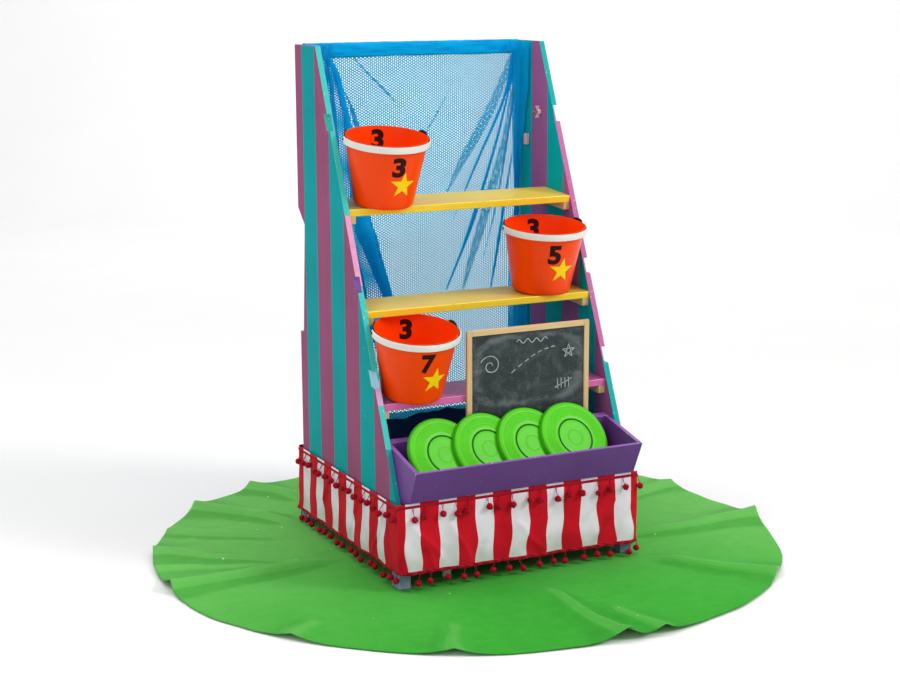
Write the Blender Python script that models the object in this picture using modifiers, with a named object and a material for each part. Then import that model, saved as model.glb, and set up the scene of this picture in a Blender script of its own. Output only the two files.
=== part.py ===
# Disc toss booth: two tapered side panels on a skirted plinth, three shelves
# with scoring buckets, a net behind them, a trough of flying discs, a small
# chalkboard and a round ground mat.  Metres, +Z up, front towards -Y.
# Origin: centre of the ground mat, at floor level.
import math
import bpy
import bmesh
from mathutils import Matrix, Vector

# ------------------------------------------------------------ dimensions
BX, BY = 0.013, 0.405          # booth centre line in X, panels' rear edge in Y
GAP = 0.0003                   # clearance between touching pieces

MAT_R, MAT_T = 0.918, 0.003    # round ground mat

FOOT_W, FOOT_D, FOOT_H = 0.036, 0.050, 0.0564
RAIL_T, RAIL_Z0, RAIL_Z1 = 0.018, 0.0600, 0.2147
DECK_Z0, DECK_Z1 = 0.2150, 0.2330
BASE_HALF = 0.3745             # half width of the plinth
BASE_FRONT, BASE_REAR = 0.712, -0.028   # distances in front of the panels' rear edge

PANEL_HALF, PANEL_T = 0.3752, 0.017
PANEL_TOP, PANEL_TOP_D, PANEL_SLOPE = 1.469, 0.1623, 0.4353
PANEL_Z0 = DECK_Z1 + GAP
NOTCHES = ((1.2798, 1.2327), (0.8392, 0.7964), (0.5890, 0.5444))

SHELF_D, SHELF_T, SHELF_HALF = 0.160, 0.020, 0.3579
SHELVES = (("shelf_top", 0.3595, 1.0180, 4.0),
           ("shelf_middle", 0.4776, 0.7446, 2.5),
           ("shelf_lower", 0.5770, 0.4990, 1.5))
CLEAT_W, CLEAT_H, CLEAT_L = 0.020, 0.022, 0.150

BUCKET_H, BUCKET_RT, BUCKET_RB, BUCKET_W = 0.1965, 0.1195, 0.0863, 0.0017
BUCKET_YAW = -12.0
BUCKETS = (("bucket_1", -0.2205, 0.3113, 1.0271, 10.0),
           ("bucket_2", 0.2469, 0.4046, 0.7537, 6.8),
           ("bucket_3", -0.2329, 0.5245, 0.5088, 10.5))
EAR_R, EAR_A0, EAR_A1 = 0.1224, 66.0, 94.0        # outer radius, angles from the rear
EAR_TOP, EAR_BOT = 0.0015, 0.0225                  # below the rim
BAIL_R0, BAIL_R1, BAIL_W = 0.1232, 0.1258, 0.0190
PIVOT_DROP = 0.0115

TROUGH_HALF = 0.3570
TR_FLOOR0, TR_FLOOR1 = 0.2475, 0.2583
TR_WALL = 0.010

DISC_R, DISC_T, DISC_SHELL = 0.1135, 0.016, 0.0024
DISC_SLOPE, DISC_YAW, DISC_STEP = 54.0, 8.5, 0.1385
DISC4 = (0.219, 0.6695, 0.3625)                    # centre of the top face of the last disc

BOARD_X0, BOARD_X1, BOARD_Z0, BOARD_Z1 = -0.089, 0.308, 0.3998, 0.6845
BOARD_Y0, BOARD_Y1, BOARD_RAIL = 0.5776, 0.5886, 0.016

SKIRT_Z0, SKIRT_Z1, SKIRT_T = 0.040, 0.2465, 0.003
SKIRT_HALF, SKIRT_FRONT, SKIRT_REAR, SKIRT_CORNER = 0.3795, 0.7290, -0.0335, 0.020

NET_HALF, NET_Z0 = 0.3540, 0.325
ROD_Y0, ROD_Y1, ROD_Z0, ROD_Z1 = 0.0120, 0.0320, 1.4380, 1.4660

BOLT_Y, BOLT_Z, BOLT_R = 0.1690, 1.2560, 0.0040


# ------------------------------------------------------------ scene set-up
for ob in list(bpy.data.objects):
    bpy.data.objects.remove(ob, do_unlink=True)

PARTS = bpy.data.collections.new("disc_toss_booth")
CUTS = bpy.data.collections.new("cutters")
bpy.context.scene.collection.children.link(PARTS)
bpy.context.scene.collection.children.link(CUTS)

MATS = {}


def material(name, rgb, rough=0.5, metal=0.0):
    if name not in MATS:
        m = bpy.data.materials.new(name)
        m.use_nodes = True
        b = m.node_tree.nodes["Principled BSDF"]
        b.inputs["Base Color"].default_value = (*rgb, 1.0)
        b.inputs["Roughness"].default_value = rough
        b.inputs["Metallic"].default_value = metal
        MATS[name] = m
    return MATS[name]


def booth_y(yp):
    """World Y of a point that lies yp in front of the panels' rear edge."""
    return BY - yp


def add(name, mesh, matrix, mat, coll=None, smooth=False):
    ob = bpy.data.objects.new(name, mesh)
    (coll or PARTS).objects.link(ob)
    ob.matrix_world = matrix
    if mat is not None:
        mesh.materials.clear()
        mesh.materials.append(mat)
    if smooth:
        mesh.shade_smooth()
        mesh.set_sharp_from_angle(angle=math.radians(35))
    return ob


def bevel(ob, width, seg=1):
    m = ob.modifiers.new("edge", "BEVEL")
    m.width = width
    m.segments = seg
    m.limit_method = 'ANGLE'
    m.angle_limit = math.radians(35)
    return ob


def box(name, x0, x1, y0, y1, z0, z1, mat, edge=0.0008):
    """Block between world X, booth depth (y0 rear, y1 front) and Z limits."""
    bm = bmesh.new()
    bmesh.ops.create_cube(bm, size=1.0)
    bmesh.ops.scale(bm, vec=(x1 - x0, y1 - y0, z1 - z0), verts=bm.verts)
    me = bpy.data.meshes.new(name)
    bm.to_mesh(me)
    bm.free()
    c = Vector(((x0 + x1) / 2, booth_y((y0 + y1) / 2), (z0 + z1) / 2))
    ob = add(name, me, Matrix.Translation(c), mat)
    if edge:
        bevel(ob, edge)
    return ob


# local X -> world Y, local Y -> world Z, local Z -> world X
SIDEWAYS = Matrix(((0, 0, 1, 0), (1, 0, 0, 0), (0, 1, 0, 0), (0, 0, 0, 1)))


def outline_mesh(name, loops, thick):
    """Flat outline (outer loop first, then holes) extruded to a closed mesh."""
    cu = bpy.data.curves.new(name + "_outline", 'CURVE')
    cu.dimensions = '2D'
    cu.fill_mode = 'BOTH'
    cu.extrude = thick / 2
    for pts in loops:
        sp = cu.splines.new('POLY')
        sp.points.add(len(pts) - 1)
        for p, (u, v) in zip(sp.points, pts):
            p.co = (u, v, 0.0, 1.0)
        sp.use_cyclic_u = True
    tmp = bpy.data.objects.new(name + "_outline", cu)
    CUTS.objects.link(tmp)
    dg = bpy.context.evaluated_depsgraph_get()
    me = bpy.data.meshes.new_from_object(tmp.evaluated_get(dg))
    bpy.data.objects.remove(tmp, do_unlink=True)
    bm = bmesh.new()
    bm.from_mesh(me)
    bmesh.ops.remove_doubles(bm, verts=bm.verts, dist=0.00005)
    bmesh.ops.recalc_face_normals(bm, faces=bm.faces)
    bm.to_mesh(me)
    bm.free()
    me.name = name
    return me


def prism_x(name, pts, x0, x1, mat, edge=0.0008, coll=None):
    """Section (booth depth, z) swept from world x0 to x1."""
    cy = sum(p[0] for p in pts) / len(pts)
    cz = sum(p[1] for p in pts) / len(pts)
    loop = [(-(p[0] - cy), p[1] - cz) for p in pts]
    me = outline_mesh(name, [loop], x1 - x0)
    mw = Matrix.Translation(((x0 + x1) / 2, booth_y(cy), cz)) @ SIDEWAYS
    ob = add(name, me, mw, mat, coll)
    if edge:
        bevel(ob, edge)
    return ob


def boolean(ob, other, op='DIFFERENCE'):
    m = ob.modifiers.new("cut", 'BOOLEAN')
    m.operation = op
    m.solver = 'EXACT'
    m.object = other
    other.hide_render = True
    other.display_type = 'WIRE'


def cylinder(name, r, length, matrix, mat, coll=None, seg=32):
    """Cylinder along the matrix's local Z, centred."""
    bm = bmesh.new()
    bmesh.ops.create_cone(bm, cap_ends=True, cap_tris=False, segments=seg,
                          radius1=r, radius2=r, depth=length)
    me = bpy.data.meshes.new(name)
    bm.to_mesh(me)
    bm.free()
    return add(name, me, matrix, mat, coll, smooth=True)


def turned(name, prof, matrix, mat, steps):
    """Profile (radius, height) turned about the local Z."""
    me = bpy.data.meshes.new(name)
    bm = bmesh.new()
    vs = [bm.verts.new((r, 0.0, z)) for r, z in prof]
    for a, b in zip(vs, vs[1:]):
        bm.edges.new((a, b))
    bm.to_mesh(me)
    bm.free()
    ob = add(name, me, matrix, mat)
    m = ob.modifiers.new("turn", 'SCREW')
    m.axis = 'Z'
    m.angle = 2 * math.pi
    m.steps = steps
    m.render_steps = steps
    m.use_merge_vertices = True
    m.merge_threshold = 0.00005
    m.use_smooth_shade = True
    m.use_normal_calculate = False
    return ob


def arc_mesh(name, prof, a0, a1, steps):
    """Closed section (radius, height) spun about Z from angle a0 to a1 (degrees)."""
    bm = bmesh.new()
    ca, sa = math.cos(math.radians(a0)), math.sin(math.radians(a0))
    vs = [bm.verts.new((r * ca, r * sa, z)) for r, z in prof]
    f = bm.faces.new(vs)
    bmesh.ops.spin(bm, geom=[f] + list(f.edges) + vs, cent=(0, 0, 0), axis=(0, 0, 1),
                   angle=math.radians(a1 - a0), steps=steps, use_duplicate=False)
    bmesh.ops.holes_fill(bm, edges=[e for e in bm.edges if e.is_boundary], sides=0)
    bmesh.ops.recalc_face_normals(bm, faces=bm.faces)
    me = bpy.data.meshes.new(name)
    bm.to_mesh(me)
    bm.free()
    return me


# ------------------------------------------------------------ materials
M_MAT = material("mat_green", (0.056, 0.407, 0.042), 0.85)
M_PANEL = material("panel_paint", (0.240, 0.080, 0.160), 0.45)
M_YELLOW = material("shelf_yellow", (0.870, 0.640, 0.025), 0.40)
M_PINK = material("shelf_pink", (0.630, 0.160, 0.390), 0.40)
M_WOOD = material("plain_wood", (0.740, 0.520, 0.210), 0.60)
M_DECK = material("deck_paint", (0.080, 0.040, 0.140), 0.60)
M_FEET = material("foot_paint", (0.260, 0.260, 0.420), 0.55)
M_NET = material("net_blue", (0.260, 0.550, 0.720), 0.70)
M_NAVY = material("navy_board", (0.005, 0.020, 0.060), 0.60)
M_SKIRT = material("skirt_red", (0.520, 0.006, 0.020), 0.80)
M_TROUGH = material("trough_purple", (0.102, 0.044, 0.162), 0.40)
M_DISC = material("disc_green", (0.130, 0.720, 0.030), 0.35)
M_BUCKET = material("bucket_red", (0.900, 0.060, 0.010), 0.30)
M_WHITE = material("band_white", (0.780, 0.780, 0.740), 0.35)
M_BLACK = material("ear_black", (0.010, 0.008, 0.008), 0.40)
M_SLATE = material("slate", (0.042, 0.060, 0.060), 0.85)
M_STEEL = material("steel", (0.560, 0.560, 0.560), 0.30, 1.0)

XL, XR = BX - PANEL_HALF, BX + PANEL_HALF            # outer faces of the panels
XLI, XRI = XL + PANEL_T, XR - PANEL_T                # inner faces


def panel_front(z):
    return PANEL_TOP_D + (PANEL_TOP - z) * PANEL_SLOPE


# ------------------------------------------------------------ ground mat
bm = bmesh.new()
bmesh.ops.create_cone(bm, cap_ends=True, cap_tris=False, segments=96,
                      radius1=MAT_R, radius2=MAT_R, depth=MAT_T)
me = bpy.data.meshes.new("ground_mat")
bm.to_mesh(me)
bm.free()
add("ground_mat", me, Matrix.Translation((0, 0, MAT_T / 2)), M_MAT, smooth=True)

# ------------------------------------------------------------ plinth
BL, BR = BX - BASE_HALF, BX + BASE_HALF
fz0 = MAT_T + GAP
for nm, x0, y0 in (("foot_front_left", BL, BASE_FRONT - FOOT_D),
                   ("foot_front_right", BR - FOOT_W, BASE_FRONT - FOOT_D),
                   ("foot_rear_left", BL, BASE_REAR),
                   ("foot_rear_right", BR - FOOT_W, BASE_REAR)):
    box(nm, x0, x0 + FOOT_W, y0, y0 + FOOT_D, fz0, fz0 + FOOT_H, M_FEET, 0.002)
box("base_rail_left", BL, BL + RAIL_T, BASE_REAR, BASE_FRONT, RAIL_Z0, RAIL_Z1, M_DECK)
box("base_rail_right", BR - RAIL_T, BR, BASE_REAR, BASE_FRONT, RAIL_Z0, RAIL_Z1, M_DECK)
box("base_rail_front", BL + RAIL_T + GAP, BR - RAIL_T - GAP, BASE_FRONT - RAIL_T, BASE_FRONT,
    RAIL_Z0, RAIL_Z1, M_DECK)
box("base_rail_rear", BL + RAIL_T + GAP, BR - RAIL_T - GAP, BASE_REAR, BASE_REAR + RAIL_T,
    RAIL_Z0, RAIL_Z1, M_DECK)
box("base_deck", BL, BR, BASE_REAR, BASE_FRONT, DECK_Z0, DECK_Z1, M_DECK)
leg_h = RAIL_Z1 - fz0
cylinder("centre_leg", 0.0125, leg_h, Matrix.Translation((-0.191, booth_y(0.660), fz0 + leg_h / 2)),
         M_WHITE)

# ------------------------------------------------------------ side panels
def panel(name, x0, x1, outer_sign, extra_rear_notch):
    z0 = PANEL_Z0
    pts = [(0.0, z0), (panel_front(z0), z0), (PANEL_TOP_D, PANEL_TOP), (0.0, PANEL_TOP)]
    if extra_rear_notch:
        # shallow tapering cut-out in the rear edge
        pts += [(0.0, 0.986), (0.050, 0.940), (0.025, 0.608), (0.0, 0.608)]
    ob = prism_x(name, pts, x0, x1, M_PANEL, edge=0)
    # finger notches: bevelled cuts in the front edge, deep on the outer face
    xo = x0 if outer_sign < 0 else x1
    xi = x1 if outer_sign < 0 else x0
    for k, (za, zb) in enumerate(NOTCHES):
        zc = (za + zb) / 2
        yf = panel_front(zc)
        over = 0.004 * outer_sign
        tri = [(xo + over, yf - 0.034), (xi - 0.0035 * -outer_sign * 1.0, yf + 0.002),
               (xi - 0.0035 * -outer_sign * 1.0, yf + 0.030), (xo + over, yf + 0.030)]
        cx = sum(p[0] for p in tri) / 4
        cy = sum(p[1] for p in tri) / 4
        me = outline_mesh("%s_cut_%d" % (name, k), [[(p[0] - cx, -(p[1] - cy)) for p in tri]], za - zb)
        for v in me.vertices:                       # lean the cutter with the front edge
            v.co.y += v.co.z * PANEL_SLOPE
        cut = add("%s_cut_%d" % (name, k), me,
                  Matrix.Translation((cx, booth_y(cy), zc)), None, CUTS)
        boolean(ob, cut)
    return ob


panel_left = panel("side_panel_left", XL, XLI, -1, True)
panel_right = panel("side_panel_right", XRI, XR, 1, False)
bevel(panel_left, 0.0008)

# ------------------------------------------------------------ bolt and wing nut
hole = cylinder("bolt_hole", BOLT_R + 0.0003, 0.060,
                Matrix.Translation(((XRI + XR) / 2, booth_y(BOLT_Y), BOLT_Z)) @ SIDEWAYS,
                None, CUTS, 24)
boolean(panel_right, hole)
bevel(panel_right, 0.0008)
bolt_prof = [(0.0, 0.0490), (BOLT_R, 0.0490), (BOLT_R, 0.0060), (0.0100, 0.0052), (0.0100, 0.0040),
             (0.0070, 0.0010), (0.0, 0.0)]
# head on the outer face, shank pointing inwards (-X)
bolt_mw = Matrix.Translation((XR + 0.0060 + GAP, booth_y(BOLT_Y), BOLT_Z)) @ \
    Matrix.Rotation(math.radians(-90), 4, 'Y')
turned("panel_bolt", bolt_prof, bolt_mw, M_STEEL, 24)

nut_x = XRI - GAP - 0.0045
nut_mw = Matrix.Translation((nut_x, booth_y(BOLT_Y), BOLT_Z)) @ SIDEWAYS
nut = cylinder("wing_nut", 0.0085, 0.009, nut_mw, M_STEEL, None, 28)
for k, s in enumerate((1, -1)):
    w = box("nut_wing_%d" % k, nut_x - 0.0115, nut_x + 0.0025, BOLT_Y - 0.0016, BOLT_Y + 0.0016,
            BOLT_Z + (0.0060 if s > 0 else -0.0190), BOLT_Z + (0.0190 if s > 0 else -0.0060),
            None, 0)
    PARTS.objects.unlink(w)
    CUTS.objects.link(w)
    boolean(nut, w, 'UNION')
nut_bore = cylinder("nut_bore", BOLT_R + 0.0003, 0.080, nut_mw, None, CUTS, 24)
boolean(nut, nut_bore)
box("side_peg", XRI - GAP - 0.012, XRI - GAP, 0.086, 0.104, 1.150, 1.184, M_WOOD, 0.002)


# ------------------------------------------------------------ shelves and cleats
def shelf_pt(yf, zf, tilt, back, down):
    """Point of a shelf section: back along the top, down square to it."""
    t = math.radians(tilt)
    return (yf - back * math.cos(t) - down * math.sin(t),
            zf + back * math.sin(t) - down * math.cos(t))


for nm, yf, zf, tilt in SHELVES:
    sec = [shelf_pt(yf, zf, tilt, b, d) for b, d in
           ((0, 0), (SHELF_D, 0), (SHELF_D, SHELF_T), (0, SHELF_T))]
    prism_x(nm, sec, BX - SHELF_HALF, BX + SHELF_HALF, M_PINK if nm == "shelf_lower" else M_YELLOW,
            0.0015)
    d0 = SHELF_T + GAP
    sec = [shelf_pt(yf, zf, tilt, b, d) for b, d in
           ((0.0005, d0), (CLEAT_L, d0), (CLEAT_L, d0 + CLEAT_H), (0.0005, d0 + CLEAT_H))]
    lev = nm.split("_")[1]
    prism_x("cleat_%s_left" % lev, sec, XLI + GAP, XLI + GAP + CLEAT_W, M_WOOD, 0.001)
    prism_x("cleat_%s_right" % lev, sec, XRI - GAP - CLEAT_W, XRI - GAP, M_WOOD, 0.001)

# ------------------------------------------------------------ buckets
def bucket_r(z):
    return BUCKET_RB + (BUCKET_RT - BUCKET_RB) * z / BUCKET_H


for k, (nm, bx, by, bz, tilt) in enumerate(BUCKETS, 1):
    base = Matrix.Translation((bx, booth_y(by), bz)) @ Matrix.Rotation(math.radians(tilt), 4, 'X') @ \
        Matrix.Rotation(math.radians(BUCKET_YAW), 4, 'Z')
    w = BUCKET_W
    prof = [(0.0, 0.0024), (BUCKET_RB - 0.006, 0.0024), (BUCKET_RB - w, 0.0060)]
    prof += [(bucket_r(z) - w, z) for z in (0.100, BUCKET_H - 0.0010)]
    prof += [(BUCKET_RT - w / 2, BUCKET_H), (BUCKET_RT, BUCKET_H - 0.0010)]
    prof += [(bucket_r(z), z) for z in (0.100, 0.004)]
    prof += [(BUCKET_RB - 0.003, 0.0), (0.0, 0.0)]
    turned(nm, prof, base, M_BUCKET, 60)
    # black hinge ears hugging the wall, each with a stub for the bail
    zt, zb = BUCKET_H - EAR_TOP, BUCKET_H - EAR_BOT
    zp = BUCKET_H - PIVOT_DROP
    sec = [(bucket_r(zt) + 0.0005, zt), (EAR_R, zt), (EAR_R, zb), (bucket_r(zb) + 0.0005, zb)]
    for side, s in (("right", 1), ("left", -1)):
        a0, a1 = (90 - EAR_A1, 90 - EAR_A0) if s > 0 else (90 + EAR_A0, 90 + EAR_A1)
        me = arc_mesh("ear_%d_%s" % (k, side), sec, a0, a1, 7)
        ear = add("ear_%d_%s" % (k, side), me, base, M_BLACK)
        stub = cylinder("stub_%d_%s" % (k, side), 0.0030, 0.0058,
                        base @ Matrix.Translation((s * 0.1238, 0, zp)) @ SIDEWAYS, None, CUTS, 16)
        boolean(ear, stub, 'UNION')
    # flat bail, folded down round the front of the rim; its origin is on the hinge
    pivot = base @ Matrix.Translation((0, 0, zp))
    hw = BAIL_W / 2
    me = arc_mesh("bail_%d" % k, [(BAIL_R0, hw), (BAIL_R1, hw), (BAIL_R1, -hw), (BAIL_R0, -hw)],
                  -90 - 94.6, -90 + 94.6, 44)
    bail = add("bail_%d" % k, me, pivot, M_WHITE, smooth=True)
    for s in (1, -1):
        h = cylinder("bail_hole_%d_%d" % (k, s), 0.0034, 0.020,
                     pivot @ Matrix.Translation((s * 0.1245, 0, 0)) @ SIDEWAYS, None, CUTS, 16)
        boolean(bail, h)

# wooden wedges that hold the buckets' rear edges up off the shelves
for k, ((bn, bx, by, bz, bt), (sn, yf, zf, st)) in enumerate(zip(BUCKETS, SHELVES), 1):
    tb, ts = math.tan(math.radians(bt)), math.tan(math.radians(st))
    y0, y1 = by - 0.074, by - 0.022

    def under(y):
        return bz - (y - by) * tb - 0.0004

    def over(y):
        return zf + (yf - y) * ts + 0.0004
    prism_x("bucket_wedge_%d" % k, [(y0, over(y0)), (y1, over(y1)), (y1, under(y1)), (y0, under(y0))],
            bx - 0.030, bx + 0.030, M_WOOD, 0)

# ------------------------------------------------------------ net, rail and lower back
rod = box("top_rail", BX - SHELF_HALF, BX + SHELF_HALF, ROD_Y0, ROD_Y1, ROD_Z0, ROD_Z1, M_WOOD)
f = ROD_Y1 + 0.0004
prism_x("back_net", [(f + 0.003, NET_Z0), (f + 0.003, ROD_Z1 + 0.0032), (ROD_Y0 - 0.003, ROD_Z1 + 0.0032),
                     (ROD_Y0 - 0.003, ROD_Z1 + 0.0004), (f, ROD_Z1 + 0.0004), (f, NET_Z0)],
        BX - NET_HALF, BX + NET_HALF, M_NET, 0)
box("lower_back_panel", BX - SHELF_HALF, BX + SHELF_HALF, 0.0030, 0.0090, DECK_Z1 + GAP, 0.316, M_NAVY)


# ------------------------------------------------------------ skirt
def round_rect(x0, x1, y0, y1, r, n=5):
    """Rectangle in plan with rounded front corners (front is low world Y)."""
    pts = []
    for cx, cy, a0 in ((x1 - r, y0 + r, -90), (x0 + r, y0 + r, 180)):
        seg = [(cx + r * math.cos(math.radians(a0 + 90 * i / n)),
                cy + r * math.sin(math.radians(a0 + 90 * i / n))) for i in range(n + 1)]
        pts.append(seg)
    return pts[0] + [(x1, y1), (x0, y1)] + pts[1]


yo0, yo1 = booth_y(SKIRT_FRONT), booth_y(SKIRT_REAR)
xo0, xo1 = BX - SKIRT_HALF, BX + SKIRT_HALF
cyk = (yo0 + yo1) / 2
outer = round_rect(xo0, xo1, yo0, yo1, SKIRT_CORNER)
inner = round_rect(xo0 + SKIRT_T, xo1 - SKIRT_T, yo0 + SKIRT_T, yo1 - SKIRT_T, SKIRT_CORNER - SKIRT_T)
me = outline_mesh("skirt", [[(x - BX, y - cyk) for x, y in outer], [(x - BX, y - cyk) for x, y in inner]],
                  SKIRT_Z1 - SKIRT_Z0)
add("skirt", me, Matrix.Translation((BX, cyk, (SKIRT_Z0 + SKIRT_Z1) / 2)), M_SKIRT)

# ------------------------------------------------------------ trough
TL, TR = BX - TROUGH_HALF, BX + TROUGH_HALF
ft = 0.4842                                    # outward lean of the front wall per metre of height
top_slope = 0.2126                             # the rims fall towards the front
FB = 0.7450                                    # front wall, lower outer corner
wz0 = TR_FLOOR1 + GAP


def front_outer(z):
    return FB + (z - 0.259) * ft


def rim_z(y):
    return 0.3940 - (y - 0.602) * top_slope


wall_h = TR_WALL * math.sqrt(1 + ft * ft)      # the wall's thickness measured along Y
zo = 0.3540
zi = zo + wall_h * top_slope
prism_x("trough_front", [(front_outer(wz0) - wall_h, wz0), (front_outer(wz0), wz0), (front_outer(zo), zo),
                         (front_outer(zi) - wall_h, zi)], TL, TR, M_TROUGH, 0.001)
prism_x("trough_rear", [(0.578, wz0), (0.602, wz0), (0.602, rim_z(0.602)), (0.578, rim_z(0.578))],
        TL, TR, M_TROUGH, 0.001)
box("trough_floor", TL, TR, 0.578, 0.7325, TR_FLOOR0, TR_FLOOR1, M_TROUGH)
end_sec = [(0.602 + GAP, wz0), (front_outer(wz0) - wall_h - GAP, wz0),
           (front_outer(zi) - wall_h - GAP, zi), (0.602 + GAP, rim_z(0.602))]
prism_x("trough_end_left", end_sec, TL, TL + 0.012, M_TROUGH, 0.0008)
prism_x("trough_end_right", end_sec, TR - 0.012, TR, M_TROUGH, 0.0008)
box("trough_batten", BX - 0.330, BX + 0.330, 0.630, 0.670, DECK_Z1 + GAP, TR_FLOOR0 - GAP, M_WOOD)

# ------------------------------------------------------------ discs
rt, sh = DISC_T, DISC_SHELL
R = DISC_R
disc_prof = [(0.0, 0.0), (R * 0.48, 0.0), (R * 0.86, -0.0002), (R - 0.0090, -0.0010), (R - 0.0040, -0.0034),
             (R - 0.0012, -0.0075), (R, -0.0115), (R - 0.0004, -rt + 0.001), (R - 0.0016, -rt),
             (R - 0.0040, -rt), (R - 0.0044, -0.0095), (R - 0.0080, -0.0045), (R * 0.85, -sh - 0.0003),
             (0.0, -sh)]
for k in range(1, 5):
    c = Vector((DISC4[0] - (4 - k) * DISC_STEP, booth_y(DISC4[1]), DISC4[2]))
    mw = Matrix.Translation(c) @ Matrix.Rotation(math.radians(DISC_YAW), 4, 'Z') @ \
        Matrix.Rotation(math.radians(DISC_SLOPE), 4, 'X')
    turned("disc_%d" % k, disc_prof, mw, M_DISC, 60)

# ------------------------------------------------------------ chalkboard
r = BOARD_RAIL
box("board_rail_left", BOARD_X0, BOARD_X0 + r, BOARD_Y0, BOARD_Y1, BOARD_Z0, BOARD_Z1, M_WOOD)
box("board_rail_right", BOARD_X1 - r, BOARD_X1, BOARD_Y0, BOARD_Y1, BOARD_Z0, BOARD_Z1, M_WOOD)
box("board_rail_top", BOARD_X0 + r + GAP, BOARD_X1 - r - GAP, BOARD_Y0, BOARD_Y1, BOARD_Z1 - r,
    BOARD_Z1, M_WOOD)
box("board_rail_bottom", BOARD_X0 + r + GAP, BOARD_X1 - r - GAP, BOARD_Y0, BOARD_Y1, BOARD_Z0,
    BOARD_Z0 + r, M_WOOD)
box("board_slate", BOARD_X0 + r + GAP, BOARD_X1 - r - GAP, BOARD_Y0 + 0.002, BOARD_Y1 - 0.004,
    BOARD_Z0 + r + GAP, BOARD_Z1 - r - GAP, M_SLATE, 0)

for ob in CUTS.objects:
    ob.hide_render = True
    ob.display_type = 'WIRE'
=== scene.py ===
import math
import bpy
import bmesh
import numpy as np
from mathutils import Matrix, Vector, noise


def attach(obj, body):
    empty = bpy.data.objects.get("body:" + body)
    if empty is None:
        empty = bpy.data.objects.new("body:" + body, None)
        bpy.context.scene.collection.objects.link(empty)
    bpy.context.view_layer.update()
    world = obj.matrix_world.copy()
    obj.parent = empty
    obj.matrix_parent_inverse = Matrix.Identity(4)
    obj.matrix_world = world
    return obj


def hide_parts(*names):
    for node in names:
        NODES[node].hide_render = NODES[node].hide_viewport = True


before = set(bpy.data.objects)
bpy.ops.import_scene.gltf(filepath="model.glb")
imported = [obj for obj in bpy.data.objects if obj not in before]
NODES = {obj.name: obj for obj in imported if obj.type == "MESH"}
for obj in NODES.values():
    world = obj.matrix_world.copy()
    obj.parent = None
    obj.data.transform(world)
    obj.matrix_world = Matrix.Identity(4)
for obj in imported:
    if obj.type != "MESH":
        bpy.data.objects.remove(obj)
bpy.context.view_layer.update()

TAU = 2 * math.pi
rng = np.random.default_rng(7)

# ------------------------------------------------------------ places repeated from the model
BX, BY = 0.013, 0.405
XL, XR = BX - 0.3752, BX + 0.3752
PANEL_T = 0.017
PANEL_TOP, PANEL_TOP_D, PANEL_SLOPE = 1.469, 0.1623, 0.4353
NOTCHES = ((1.2798, 1.2327), (0.8392, 0.7964), (0.5890, 0.5444))
BH, BRT, BRB = 0.1965, 0.1195, 0.0863
BUCKETS = {1: (-0.2205, 0.3113, 1.0271, 10.0), 2: (0.2469, 0.4046, 0.7537, 6.8), 3: (-0.2329, 0.5245, 0.5088, 10.5)}
PIVOT_DROP = 0.0115
DISC_R, DISC_T = 0.1135, 0.016


def lin(h):
    """sRGB hex to linear RGB."""
    out = []
    for i in (1, 3, 5):
        c = int(h[i:i + 2], 16) / 255
        out.append(c / 12.92 if c <= 0.04045 else ((c + 0.055) / 1.055) ** 2.4)
    return (*out, 1.0)


# ------------------------------------------------------------ mesh helpers
def link(ob):
    bpy.context.scene.collection.objects.link(ob)
    return ob


def mesh_from(name, verts, faces, mats=(), smooth=True, uv=None, idx=None):
    me = bpy.data.meshes.new(name)
    me.from_pydata([tuple(map(float, v)) for v in verts], [], [tuple(int(i) for i in f) for f in faces])
    for m in mats:
        me.materials.append(m)
    if idx is not None:
        me.polygons.foreach_set("material_index", np.asarray(idx, np.int32))
    if uv is not None:
        layer = me.uv_layers.new(name="UVMap")
        loops = np.zeros(len(me.loops), np.int32)
        me.loops.foreach_get("vertex_index", loops)
        layer.data.foreach_set("uv", np.asarray(uv, np.float32)[loops].ravel())
    me.validate()
    if smooth:
        me.shade_smooth()
    return link(bpy.data.objects.new(name, me))


def grid_faces(n, m, close_n=False, close_m=False):
    """Quads of a grid with n rows of m points."""
    f = []
    for i in range(n if close_n else n - 1):
        for j in range(m if close_m else m - 1):
            a, b = i * m + j, i * m + (j + 1) % m
            c, d = ((i + 1) % n) * m + (j + 1) % m, ((i + 1) % n) * m + j
            f.append((a, b, c, d))
    return f


def lathe(prof, seg, a0=0.0, a1=360.0, close=False):
    """Profile of (radius, z) turned about Z. Points at radius 0 make a pole."""
    full = abs(a1 - a0 - 360) < 1e-6
    cols = seg if full else seg + 1
    ang = np.radians(a0 + (a1 - a0) * np.arange(cols) / seg)
    verts, rows = [], []
    for r, z in prof:
        if r <= 1e-9:
            rows.append([len(verts)] * cols)
            verts.append((0, 0, z))
        else:
            rows.append(list(range(len(verts), len(verts) + cols)))
            verts += [(r * math.cos(a), r * math.sin(a), z) for a in ang]
    faces = []
    pairs = list(zip(rows, rows[1:])) + ([(rows[-1], rows[0])] if close else [])
    for r0, r1 in pairs:
        for j in range(cols if full else cols - 1):
            k = (j + 1) % cols
            q = [r0[j], r0[k], r1[k], r1[j]]
            q = [v for i, v in enumerate(q) if v != q[i - 1]]
            if len(q) >= 3:
                faces.append(tuple(q))
    if not full and close:
        faces.append(tuple(r[0] for r in rows))
        faces.append(tuple(r[-1] for r in reversed(rows)))
    return verts, faces


def sharp(ob, deg=35):
    ob.data.set_sharp_from_angle(angle=math.radians(deg))
    return ob


def outward(ob):
    bm = bmesh.new()
    bm.from_mesh(ob.data)
    bmesh.ops.recalc_face_normals(bm, faces=bm.faces)
    bm.to_mesh(ob.data)
    bm.free()
    return ob


def place(ob, matrix):
    ob.matrix_world = matrix
    return ob


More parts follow.
